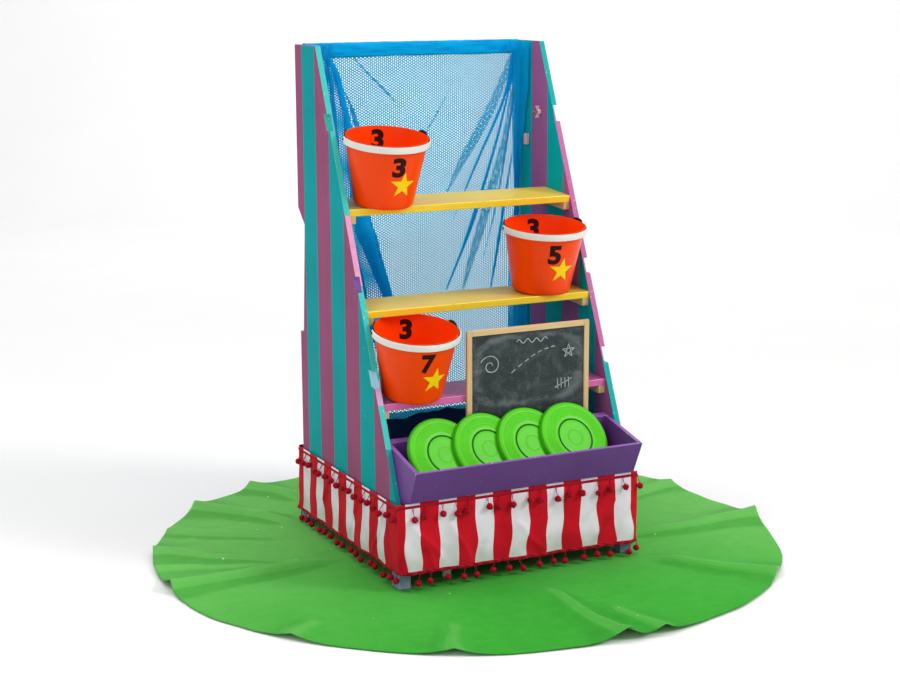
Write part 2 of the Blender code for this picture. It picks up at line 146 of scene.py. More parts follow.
def join_parts(name, parts, mats):
    """parts: list of (verts, faces, material index). One object."""
    V, F, I = [], [], []
    for verts, faces, mi in parts:
        o = len(V)
        V += [tuple(v) for v in verts]
        F += [tuple(i + o for i in f) for f in faces]
        I += [mi] * len(faces)
    return mesh_from(name, V, F, mats, idx=I)


def tube(points, radius, seg=8, caps=True):
    """Round tube along points; radius is a number or one per point."""
    P = [Vector(p) for p in points]
    R = radius if hasattr(radius, "__len__") else [radius] * len(P)
    verts, faces = [], []
    t_prev, nrm = None, None
    for i, p in enumerate(P):
        t = (P[min(i + 1, len(P) - 1)] - P[max(i - 1, 0)]).normalized()
        if nrm is None:
            nrm = t.orthogonal().normalized()
        else:
            nrm = (nrm - t * nrm.dot(t)).normalized()
        b = t.cross(nrm)
        for k in range(seg):
            a = TAU * k / seg
            verts.append(tuple(p + (nrm * math.cos(a) + b * math.sin(a)) * R[i]))
    faces += grid_faces(len(P), seg, close_m=True)
    if caps:
        faces.append(tuple(reversed(range(seg))))
        faces.append(tuple(range((len(P) - 1) * seg, len(P) * seg)))
    return verts, faces


# ------------------------------------------------------------ material helper
class NT:
    """Small builder for procedural materials."""

    def __init__(self, name, rough=0.5, spec=0.5, metal=0.0):
        self.m = bpy.data.materials.new(name)
        self.m.use_nodes = True
        self.t = self.m.node_tree
        self.b = self.t.nodes["Principled BSDF"]
        self.b.inputs["Roughness"].default_value = rough
        self.b.inputs["Specular IOR Level"].default_value = spec
        self.b.inputs["Metallic"].default_value = metal
        self.out = self.t.nodes["Material Output"]
        self._obj = None

    def n(self, kind, **kw):
        nd = self.t.nodes.new(kind)
        for k, v in kw.items():
            setattr(nd, k, v)
        return nd

    def l(self, a, b):
        self.t.links.new(a, b)

    def obj(self):
        if self._obj is None:
            self._obj = self.n("ShaderNodeTexCoord").outputs["Object"]
        return self._obj

    def uv(self):
        return self.n("ShaderNodeTexCoord").outputs["UV"]

    def xyz(self, src=None):
        s = self.n("ShaderNodeSeparateXYZ")
        self.l(src or self.obj(), s.inputs[0])
        return s.outputs[0], s.outputs[1], s.outputs[2]

    def vec(self, x, y, z):
        c = self.n("ShaderNodeCombineXYZ")
        for s, v in zip(c.inputs, (x, y, z)):
            self.put(s, v)
        return c.outputs[0]

    def put(self, sock, v):
        if hasattr(v, "is_output"):
            self.l(v, sock)
        else:
            sock.default_value = v

    def math(self, op, a, b=0.0, c=0.0, clamp=False):
        nd = self.n("ShaderNodeMath", operation=op, use_clamp=clamp)
        for s, v in zip(nd.inputs, (a, b, c)):
            self.put(s, v)
        return nd.outputs[0]

    def vmath(self, op, a, b=None):
        nd = self.n("ShaderNodeVectorMath", operation=op)
        self.put(nd.inputs[0], a)
        if b is not None:
            self.put(nd.inputs[1], b)
        return nd.outputs[1] if op in ("LENGTH", "DOT_PRODUCT") else nd.outputs[0]

    def stretch(self, sx, sy, sz, src=None):
        return self.vmath("MULTIPLY", src or self.obj(), (sx, sy, sz))

    def noise(self, scale, detail=3.0, rough=0.55, src=None, dist=0.0):
        nd = self.n("ShaderNodeTexNoise")
        self.l(src or self.obj(), nd.inputs["Vector"])
        nd.inputs["Scale"].default_value = scale
        nd.inputs["Detail"].default_value = detail
        nd.inputs["Roughness"].default_value = rough
        nd.inputs["Distortion"].default_value = dist
        return nd.outputs["Fac"]

    def voronoi(self, scale, feature="F1", src=None, rand=1.0):
        nd = self.n("ShaderNodeTexVoronoi", feature=feature)
        self.l(src or self.obj(), nd.inputs["Vector"])
        nd.inputs["Scale"].default_value = scale
        nd.inputs["Randomness"].default_value = rand
        return nd

    def ramp(self, fac, stops, interp="LINEAR"):
        nd = self.n("ShaderNodeValToRGB")
        nd.color_ramp.interpolation = interp
        els = nd.color_ramp.elements
        while len(els) < len(stops):
            els.new(0.5)
        for e, (p, c) in zip(els, sorted(stops, key=lambda s: s[0])):
            e.position = p
            e.color = c if len(c) == 4 else (*c, 1)
        self.l(fac, nd.inputs[0])
        return nd.outputs[0]

    def steps(self, fac, lo, hi):
        """0 below lo, 1 above hi."""
        nd = self.n("ShaderNodeMapRange", interpolation_type="SMOOTHSTEP")
        self.l(fac, nd.inputs["Value"])
        nd.inputs["From Min"].default_value = lo
        nd.inputs["From Max"].default_value = hi
        return nd.outputs[0]

    def mix(self, fac, a, b, blend="MIX"):
        nd = self.n("ShaderNodeMix", data_type="RGBA", blend_type=blend)
        self.put(nd.inputs[0], fac)
        self.put(nd.inputs[6], a)
        self.put(nd.inputs[7], b)
        return nd.outputs[2]

    def color(self, v):
        self.put(self.b.inputs["Base Color"], v)
        return self

    def roughness(self, fac, lo, hi):
        nd = self.n("ShaderNodeMapRange")
        self.l(fac, nd.inputs["Value"])
        nd.inputs["To Min"].default_value = lo
        nd.inputs["To Max"].default_value = hi
        self.l(nd.outputs[0], self.b.inputs["Roughness"])
        return self

    def bump(self, height, strength=0.3, distance=0.001, normal=None):
        nd = self.n("ShaderNodeBump")
        nd.inputs["Strength"].default_value = strength
        nd.inputs["Distance"].default_value = distance
        self.l(height, nd.inputs["Height"])
        if normal is not None:
            self.l(normal, nd.inputs["Normal"])
        self.l(nd.outputs[0], self.b.inputs["Normal"])
        return nd.outputs[0]


def shade(c, k):
    return tuple(min(1.0, v * k) for v in c[:3]) + (1.0,)


# ------------------------------------------------------------ painted wood
def paint(name, col, dark=0.82, light=1.12, rough=(0.38, 0.55), grain=(1, 1, 1), wear=None, scale=1.0):
    """Brushed paint over board: soft colour drift, brush marks along the board, small chips."""
    t = NT(name, 0.5, 0.22)
    drift = t.noise(5.0 * scale, 3)
    c = t.ramp(drift, [(0.30, shade(col, dark)), (0.5, col), (0.72, shade(col, light))])
    brush = t.noise(60.0, 4, 0.6, src=t.stretch(*grain))
    c = t.mix(0.16, c, t.ramp(brush, [(0.3, shade(col, 0.70)), (0.7, shade(col, 1.25))]))
    if wear is not None:
        spots = t.noise(130.0, 2, 0.5)
        big = t.noise(9.0, 2, 0.5)
        k = t.math("MULTIPLY", t.steps(spots, 0.66, 0.70), t.steps(big, 0.50, 0.60))
        c = t.mix(t.math("MULTIPLY", k, 0.75), c, wear)
    t.color(c)
    t.roughness(brush, *rough)
    t.bump(t.math("ADD", t.math("MULTIPLY", brush, 0.6), t.math("MULTIPLY", t.noise(240.0, 2), 0.25)), 0.22, 0.0006)
    return t.m


def worn_edge(name, col, bare, share=0.52):
    """Paint rubbed thin along an arris."""
    t = NT(name)
    a = t.noise(38.0, 4, 0.6)
    b = t.noise(11.0, 2, 0.5)
    k = t.steps(t.math("ADD", t.math("MULTIPLY", a, 0.6), t.math("MULTIPLY", b, 0.4)), share, share + 0.06)
    t.color(t.mix(k, t.ramp(a, [(0.3, shade(col, 0.95)), (0.7, shade(col, 1.25))]), t.ramp(a, [(0.3, shade(bare, 0.8)), (0.7, bare)])))
    t.roughness(a, 0.45, 0.7)
    t.bump(a, 0.3, 0.0008)
    return t.m


def wood(name, col, axis, rough=(0.45, 0.65), ring=34.0):
    """Plain softwood with grain along axis (0 X, 1 Y, 2 Z)."""
    t = NT(name)
    s = [ring, ring, ring]
    s[axis] = 2.2
    src = t.stretch(*s)
    a = t.noise(1.0, 4, 0.6, src=src, dist=0.6)
    f = [260.0, 260.0, 260.0]
    f[axis] = 9.0
    fine = t.noise(1.0, 2, 0.5, src=t.stretch(*f))
    c = t.ramp(a, [(0.28, shade(col, 0.72)), (0.45, shade(col, 0.93)), (0.58, col), (0.78, shade(col, 1.10))])
    c = t.mix(0.25, c, t.ramp(fine, [(0.3, shade(col, 0.62)), (0.62, shade(col, 1.1))]))
    t.color(c)
    t.roughness(a, *rough)
    t.bump(t.math("ADD", fine, t.math("MULTIPLY", a, 0.5)), 0.25, 0.0005)
    return t.m


PURPLE, TEAL = lin("#9C5279"), lin("#009DA2")
# the inner faces get a lighter copy of the same stripe paint: painted light
PURPLE_IN_LIT, TEAL_IN_LIT = lin("#A05C92"), lin("#00A4A8")


def striped(name, pur, tea, first, width):
    """Stripes that run up the side panel, painted by hand: edges waver by a millimetre."""
    t = NT(name, 0.6, 0.06)
    x, y, z = t.xyz()
    wob = t.noise(6.0, 2, 0.5)
    yp = t.math("SUBTRACT", BY, y)
    yp = t.math("ADD", yp, t.math("MULTIPLY", t.math("SUBTRACT", wob, 0.5), 0.004))
    k = t.math("DIVIDE", t.math("SUBTRACT", yp, first - width), width * 2)
    fr = t.math("FRACT", t.math("ADD", k, 4.0))
    is_teal = t.math("MULTIPLY", t.steps(fr, 0.4985, 0.5015), t.math("SUBTRACT", 1.0, t.steps(fr, 0.9975, 1.0)))
    brush = t.noise(1.0, 4, 0.6, src=t.stretch(120.0, 120.0, 5.0))
    drift = t.noise(3.2, 3)
    cp = t.ramp(drift, [(0.3, shade(pur, 0.86)), (0.5, pur), (0.72, shade(pur, 1.12))])
    ct = t.ramp(drift, [(0.3, shade(tea, 0.88)), (0.5, tea), (0.72, shade(tea, 1.10))])
    c = t.mix(is_teal, cp, ct)
    c = t.mix(0.14, c, t.mix(is_teal, t.ramp(brush, [(0.3, shade(pur, 0.62)), (0.7, shade(pur, 1.35))]),
                             t.ramp(brush, [(0.3, shade(tea, 0.62)), (0.7, shade(tea, 1.35))])))
    # scuffs: small darker marks and pale scratches
    sc = t.noise(1.0, 3, 0.55, src=t.stretch(70.0, 70.0, 22.0))
    mask = t.math("MULTIPLY", t.steps(sc, 0.70, 0.74), t.steps(t.noise(4.0, 2), 0.50, 0.62))
    c = t.mix(t.math("MULTIPLY", mask, 0.45), c, lin("#5A3050"))
    sc2 = t.noise(1.0, 3, 0.5, src=t.stretch(90.0, 30.0, 160.0))
    mask2 = t.math("MULTIPLY", t.steps(sc2, 0.74, 0.77), t.steps(t.noise(5.0, 2), 0.55, 0.65))
    c = t.mix(t.math("MULTIPLY", mask2, 0.5), c, lin("#D9C7CF"))
    t.color(c)
    t.roughness(brush, 0.52, 0.66)
    ridge = t.math("MULTIPLY", is_teal, 0.08)
    t.bump(t.math("ADD", t.math("MULTIPLY", brush, 0.5), ridge), 0.25, 0.0006)
    return t.m


def banded(name, bands, wear, rough=(0.38, 0.52)):
    """Edge paint that changes along the height: bands are (lowest z, colour), from the top down."""
    t = NT(name, 0.55, 0.08)
    z = t.xyz()[2]
    z = t.math("ADD", z, t.math("MULTIPLY", t.math("SUBTRACT", t.noise(60.0, 2), 0.5), 0.006))
    c = bands[0][1]
    for (zb, _), (_, nxt) in zip(bands, bands[1:]):
        c = t.mix(t.math("SUBTRACT", 1.0, t.steps(z, zb - 0.0008, zb + 0.0008)), c, nxt)
    brush = t.noise(1.0, 4, 0.6, src=t.stretch(140.0, 140.0, 9.0))
    c = t.mix(t.math("MULTIPLY", t.steps(brush, 0.35, 0.75), 0.14), c, (0.02, 0.05, 0.06, 1))
    spots = t.math("MULTIPLY", t.steps(t.noise(130.0, 2), 0.66, 0.70), t.steps(t.noise(9.0, 2), 0.50, 0.60))
    c = t.mix(t.math("MULTIPLY", spots, 0.6), c, wear)
    t.color(c)
    t.roughness(brush, *rough)
    t.bump(t.math("ADD", brush, t.noise(240.0, 2)), 0.15, 0.0006)
    return t.m


M_STR_OUT = striped("stripe_outer", PURPLE, TEAL, 0.0529, 0.1007)
# inner faces use the lighter copy of the stripes, painted light
M_STR_IN_LIT = striped("stripe_inner_lit", PURPLE_IN_LIT, TEAL_IN_LIT, 0.0165, 0.1002)
# the darkest turquoise, used for the left edge's lowest band, is painted shade cast by the trough on the edge
TQ_L, PK_L, LI_L, TQ_SHADED_L = lin("#46C6BE"), lin("#E29EC4"), lin("#D2A8D0"), lin("#2A9AA0")
TQ_R, PK_R = lin("#08AAA6"), lin("#C46AA0")
M_EDGE_L = banded("edge_left", [(1.003, TQ_L), (0.815, PK_L), (0.565, TQ_L), (0.500, LI_L), (0.386, TQ_L), (0.0, TQ_SHADED_L)], lin("#D8ECE8"))
M_EDGE_R = banded("edge_right", [(1.255, TQ_R), (0.565, PK_R), (0.0, TQ_R)], lin("#D8ECE8"))
M_CUT_L = banded("notch_left", [(1.00, lin("#3FB4AE")), (0.70, lin("#8A5AA0")), (0.0, lin("#9CCFDC"))], lin("#E5D5E2"))
M_CUT_R = banded("notch_right", [(1.00, lin("#1FA8A6")), (0.70, lin("#B56A9C")), (0.0, lin("#B56A9C"))], lin("#E5D5E2"))
M_REAR = paint("panel_rear_edge", lin("#94607F"), 0.85, 1.1, (0.4, 0.6), (40, 40, 4), wear=lin("#C9B3C0"))


def panel_front(z):
    return PANEL_TOP_D + (PANEL_TOP - z) * PANEL_SLOPE


def dress_panel(node, inner_sign):
    """Sorts the panel's faces by what is painted on them."""
    ob = NODES[node]
    me = ob.data
    me.materials.clear()
    left = node.endswith("left")
    mats = [M_STR_OUT, M_STR_IN_LIT, M_EDGE_L if left else M_EDGE_R, M_CUT_L if left else M_CUT_R, M_REAR]
    for m in mats:
        me.materials.append(m)
    for p in me.polygons:
        n, c = p.normal, p.center
        yp = BY - c.y
        ax = abs(n.x)
        on_front = abs(yp - panel_front(c.z)) < 0.004
        if ax > 0.999:
            p.material_index = 1 if n.x * inner_sign > 0 else 0
        elif on_front:
            p.material_index = 2
        elif 0.06 < yp < panel_front(c.z) - 0.002 and 0.3 < c.z < 1.40:
            p.material_index = 3
        else:
            p.material_index = 4
    return ob


dress_panel("side_panel_left", 1)
dress_panel("side_panel_right", -1)

# shelves
M_YEL = paint("shelf_yellow", lin("#F3CE2A"), 0.92, 1.05, (0.28, 0.42), (4, 60, 60), wear=lin("#CDA43A"))
# the yellow shelves' tops get a darker copy of their paint: painted shade
M_YEL_TOP_SHADED = paint("shelf_yellow_top_shaded", lin("#E6C440"), 0.90, 1.05, (0.24, 0.36), (4, 60, 60), wear=lin("#BF9A40"))
M_YEL_E = worn_edge("shelf_yellow_arris", lin("#F7DC55"), lin("#D8B96A"), 0.56)
M_PNK = paint("shelf_pink", lin("#D56CA9"), 0.9, 1.08, (0.28, 0.42), (4, 60, 60), wear=lin("#9E4A7C"))
# the pink shelf's top gets a darker copy of its paint: painted shade
M_PNK_TOP_SHADED = paint("shelf_pink_top_shaded", lin("#B65A9A"), 0.9, 1.08, (0.26, 0.40), (4, 60, 60), wear=lin("#7E3A66"))
M_PNK_E = worn_edge("shelf_pink_arris", lin("#E088BB"), lin("#C98BAA"), 0.56)


def dress(node, test, mats):
    """test(polygon) gives the index into mats."""
    me = NODES[node].data
    me.materials.clear()
    for m in mats:
        me.materials.append(m)
    for p in me.polygons:
        p.material_index = test(p)
    return NODES[node]


def shelf_faces(p):
    n = p.normal
    # upward faces take the darker copy, painted shade
    if n.z > 0.99:
        return 1
    if max(abs(n.x), abs(n.y), abs(n.z)) > 0.99:
        return 0
    return 2


for nm in ("shelf_top", "shelf_middle"):
    dress(nm, shelf_faces, [M_YEL, M_YEL_TOP_SHADED, M_YEL_E])
dress("shelf_lower", shelf_faces, [M_PNK, M_PNK_TOP_SHADED, M_PNK_E])

M_WOODX = wood("wood_along_x", lin("#DDBB86"), 0)
M_WOODY = wood("wood_along_y", lin("#DDBB80"), 1)
M_WOODZ = wood("wood_along_z", lin("#DDBB86"), 2)


def wear_mat(node, mat):
    me = NODES[node].data
    me.materials.clear()
    me.materials.append(mat)
    for p in me.polygons:
        p.material_index = 0


for lev in ("top", "middle", "lower"):
    for sd in ("left", "right"):
        wear_mat("cleat_%s_%s" % (lev, sd), M_WOODY)
for k in (1, 2, 3):
    wear_mat("bucket_wedge_%d" % k, M_WOODX)
wear_mat("trough_batten", M_WOODX)
wear_mat("top_rail", M_WOODX)
wear_mat("board_rail_left", M_WOODZ)
wear_mat("board_rail_right", M_WOODZ)
wear_mat("board_rail_top", M_WOODX)
wear_mat("board_rail_bottom", M_WOODX)

M_DECK = paint("deck_paint", lin("#4A3566"), 0.8, 1.15, (0.5, 0.7), (4, 60, 60), wear=lin("#B59A6A"))
for nm in ("base_rail_left", "base_rail_right", "base_rail_front", "base_rail_rear", "base_deck"):
    wear_mat(nm, M_DECK)
M_FOOT = paint("foot_paint", lin("#8E90B8"), 0.75, 1.15, (0.5, 0.7), (60, 60, 6), wear=lin("#C9C9DA"), scale=6)
M_FOOT_E = worn_edge("foot_arris", lin("#9B9CC2"), lin("#D3C9B8"), 0.48)
for nm in ("foot_front_left", "foot_front_right", "foot_rear_left", "foot_rear_right"):
    dress(nm, lambda p: 0 if max(abs(v) for v in p.normal) > 0.99 else 1, [M_FOOT, M_FOOT_E])
M_LEG = paint("leg_white", lin("#DADDE0"), 0.85, 1.03, (0.35, 0.5), (60, 60, 6), wear=lin("#8A8A88"), scale=5)
wear_mat("centre_leg", M_LEG)

# navy lower back
t = NT("navy_board", 0.6)
nb = t.noise(1.0, 3, 0.55, src=t.stretch(3.0, 60.0, 90.0))
t.color(t.ramp(t.noise(4.0, 3), [(0.3, lin("#0A3050")), (0.7, lin("#124672"))]))
t.roughness(nb, 0.5, 0.7)
t.bump(nb, 0.2, 0.0006)
wear_mat("lower_back_panel", t.m)

# trough
M_TR = paint("trough_purple", lin("#70408F"), 0.86, 1.10, (0.30, 0.45), (5, 70, 70), wear=lin("#7E62A0"))
M_TRI = paint("trough_inside", lin("#6C4488"), 0.86, 1.10, (0.40, 0.55), (5, 70, 70))
# the upward faces get a lighter copy of the purple: painted highlight along the rim
M_TR_TOP_LIT = paint("trough_rim_lit", lin("#8A5AA8"), 0.88, 1.10, (0.30, 0.45), (5, 70, 70), wear=lin("#C0A7CC"))
M_TRE = worn_edge("trough_arris", lin("#7C55A0"), lin("#D2BFA8"), 0.545)


def trough_faces(p):
    n = p.normal
    big = p.area > 0
    # upward faces take the painted-highlight copy
    if max(abs(n.x), abs(n.z)) > 0.999 or abs(n.y) > 0.999:
        return 1 if n.z > 0.9 else 0
    if n.z > 0.90:
        return 1
    if abs(n.x) < 0.01 and 0.85 < abs(n.y) < 0.95 and abs(n.z) > 0.40:
        return 0
    return 2


for nm in ("trough_front", "trough_rear", "trough_end_left", "trough_end_right"):
    dress(nm, trough_faces, [M_TR, M_TR_TOP_LIT, M_TRE])
wear_mat("trough_floor", M_TRI)

# hardware
t = NT("steel", 0.32, 0.5, 1.0)
sn = t.noise(90.0, 3)
t.color(t.ramp(sn, [(0.3, (0.42, 0.42, 0.43, 1)), (0.7, (0.62, 0.62, 0.62, 1))]))
t.roughness(sn, 0.25, 0.45)
wear_mat("panel_bolt", t.m)
M_PEG = paint("peg_paint", lin("#D9B3BB"), 0.85, 1.1, (0.4, 0.6), (50, 50, 50), wear=lin("#E8D8B8"), scale=8)
wear_mat("side_peg", M_PEG)

# ------------------------------------------------------------ slate
t = NT("slate", 0.85, 0.25)
sm = t.noise(1.0, 5, 0.62, src=t.stretch(9.0, 9.0, 16.0), dist=1.2)
sm2 = t.noise(1.0, 3, 0.6, src=t.stretch(60.0, 40.0, 24.0))
dust = t.noise(420.0, 2, 0.5)
c = t.ramp(sm, [(0.28, lin("#2A3334")), (0.50, lin("#333C3D")), (0.66, lin("#434D4E")), (0.80, lin("#5C6566"))])
c = t.mix(t.math("MULTIPLY", t.steps(sm2, 0.55, 0.72), 0.22), c, lin("#7A8382"))
# chalk wiped outwards gathers in a rounded ring near the frame
sx_, _, sz_ = t.xyz()
ring = t.math("ADD", t.math("POWER", t.math("ABSOLUTE", t.math("DIVIDE", t.math("SUBTRACT", sx_, 0.110), 0.170)), 3.5),
              t.math("POWER", t.math("ABSOLUTE", t.math("DIVIDE", t.math("SUBTRACT", sz_, 0.560), 0.100)), 3.5))
ring = t.math("ADD", ring, t.math("MULTIPLY", t.math("SUBTRACT", t.noise(22.0, 3), 0.5), 0.9))
haze = t.math("MULTIPLY", t.steps(ring, 0.55, 0.95), t.math("SUBTRACT", 1.0, t.steps(ring, 1.0, 1.5)))
c = t.mix(t.math("MULTIPLY", t.math("MULTIPLY", haze, t.steps(sm, 0.30, 0.62)), 0.34), c, lin("#8C9696"))
c = t.mix(t.math("MULTIPLY", t.steps(dust, 0.62, 0.72), 0.30), c, lin("#98A09E"))
t.color(c)
t.roughness(sm, 0.75, 0.95)
t.bump(dust, 0.15, 0.0003)
wear_mat("board_slate", t.m)

# ------------------------------------------------------------ plastics
def plastic(name, col, rough=(0.26, 0.36), var=0.06, bump=0.10, sss=0.0, scratch=True, spec=0.28):
    t = NT(name, 0.3, spec)
    a = t.noise(18.0, 3)
    c = t.ramp(a, [(0.25, shade(col, 1 - var)), (0.75, shade(col, 1 + var))])
    if scratch:
        s = t.noise(1.0, 3, 0.6, src=t.stretch(160.0, 160.0, 24.0))
        k = t.math("MULTIPLY", t.steps(s, 0.69, 0.75), t.steps(t.noise(14.0, 2), 0.48, 0.62))
        c = t.mix(t.math("MULTIPLY", k, 0.35), c, shade(col, 0.72))
    t.color(c)
    t.roughness(t.noise(55.0, 3), *rough)
    t.bump(t.noise(420.0, 2), bump, 0.0003)
    if sss:
        t.b.inputs["Subsurface Weight"].default_value = sss
        t.b.inputs["Subsurface Radius"].default_value = (0.020, 0.004, 0.001)
        t.b.inputs["Subsurface Scale"].default_value = 0.35
    return t.m


M_BUCKET = plastic("bucket_orange_red", lin("#FF4802"), (0.24, 0.36), 0.05, 0.10, 0.0, spec=0.16)
M_BAND = plastic("band_white", lin("#E6E6DF"), (0.30, 0.42), 0.03, 0.12)
M_BLACK = plastic("ear_black", lin("#171414"), (0.30, 0.45), 0.15, 0.2)
M_DIGIT = plastic("digit_brown_black", lin("#2E1516"), (0.45, 0.60), 0.12, 0.12, scratch=False, spec=0.08)
M_STAR = plastic("star_yellow", lin("#FFD40C"), (0.40, 0.52), 0.04, 0.12, scratch=False, spec=0.12)
M_DISC = plastic("disc_green", lin("#56CE16"), (0.28, 0.38), 0.05, 0.10, 0.0, spec=0.18)
# the shoulder, rim and underside get a darker copy of the disc green: painted shade
M_DISC_RIM_SHADED = plastic("disc_green_rim", lin("#3EAC10"), (0.28, 0.38), 0.05, 0.10, spec=0.18)
M_DISC_RING = plastic("disc_dark_ring", lin("#06581A"), (0.40, 0.52), 0.10, 0.10, scratch=False, spec=0.12)
# the floors of the fine ring and the ridge grooves get a darker green: painted shade in the grooves
M_DISC_GROOVE_SHADE = plastic("disc_fine_ring", lin("#4FC425"), (0.30, 0.42), 0.05, 0.10, scratch=False)


# ------------------------------------------------------------ digits and stars
def glyph(ch, width, height):
    """Outline of a plain bold digit, centred, as (verts, faces)."""
    cu = bpy.data.curves.new("glyph", "FONT")
    cu.body = ch
    cu.size = 1.0
    cu.offset = 0.046
    cu.resolution_u = 10
    ob = link(bpy.data.objects.new("glyph", cu))
    bpy.context.view_layer.update()
    me = bpy.data.meshes.new_from_object(ob.evaluated_get(bpy.context.evaluated_depsgraph_get()))
    bpy.data.objects.remove(ob)
    co = np.array([v.co[:2] for v in me.vertices])
    lo, hi = co.min(0), co.max(0)
    co = (co - (lo + hi) / 2) / (hi - lo) * (width, height)
    faces = [tuple(p.vertices) for p in me.polygons]
    bpy.data.meshes.remove(me)
    return [(x, y, 0) for x, y in co], faces


def star(radius, turn=0.0, inner=0.40):
    pts = []
    for i in range(10):
        r = radius if i % 2 == 0 else radius * inner
        a = math.radians(90 + 36 * i + turn)
        pts.append((r * math.cos(a), r * math.sin(a), 0))
    verts = [(0, 0, 0)] + pts
    return verts, [(0, 1 + i, 1 + (i + 1) % 10) for i in range(10)]


def bucket_r(z):
    return BRB + (BRT - BRB) * z / BH


def sticker(name, flat, angle, zc, lift, mat, inside=False, thick=0.0002):
    """Flat figure wrapped on the bucket's cone, at an angle and height of its own axes."""
    bm = bmesh.new()
    vs = [bm.verts.new(v) for v in flat[0]]
    for f in flat[1]:
        try:
            bm.faces.new([vs[i] for i in f])
        except ValueError:
            pass
    for axis in (0, 1):
        lo = min(v.co[axis] for v in bm.verts)
        hi = max(v.co[axis] for v in bm.verts)
        n = int((hi - lo) / 0.0035)
        for i in range(1, n + 1):
            p = [0, 0, 0]
            p[axis] = lo + (hi - lo) * i / (n + 1)
            no = [0, 0, 0]
            no[axis] = 1
            bmesh.ops.bisect_plane(bm, geom=list(bm.verts) + list(bm.edges) + list(bm.faces), plane_co=p, plane_no=no)
    bmesh.ops.recalc_face_normals(bm, faces=bm.faces)
    if sum(f.normal.z for f in bm.faces) < 0:
        bmesh.ops.reverse_faces(bm, faces=bm.faces)
    a0 = math.radians(angle)
    for v in bm.verts:
        u, w = v.co.x, v.co.y
        z = zc + w / 1.0142
        r = bucket_r(z) + lift if not inside else bucket_r(z) - 0.0017 - lift
        a = a0 + (u / bucket_r(zc)) * (-1 if inside else 1)
        v.co = (r * math.cos(a), r * math.sin(a), z)
    me = bpy.data.meshes.new(name)
    bm.to_mesh(me)
    bm.free()
    me.materials.append(mat)
    ob = link(bpy.data.objects.new(name, me))
    m = ob.modifiers.new("film", "SOLIDIFY")
    m.thickness = thick
    m.offset = 1.0
    me.shade_smooth()
    me.set_sharp_from_angle(angle=math.radians(40))
    return ob


def round_section(r0, r1, z0, z1, rad, n=3):
    """Closed rounded rectangle as (radius, z) points."""
    pts = []
    for cr, cz, a in ((r1 - rad, z1 - rad, 0), (r0 + rad, z1 - rad, 90), (r0 + rad, z0 + rad, 180), (r1 - rad, z0 + rad, 270)):
        for i in range(n + 1):
            t_ = math.radians(a + 90 * i / n)
            pts.append((cr + rad * math.cos(t_), cz + rad * math.sin(t_)))
    return pts


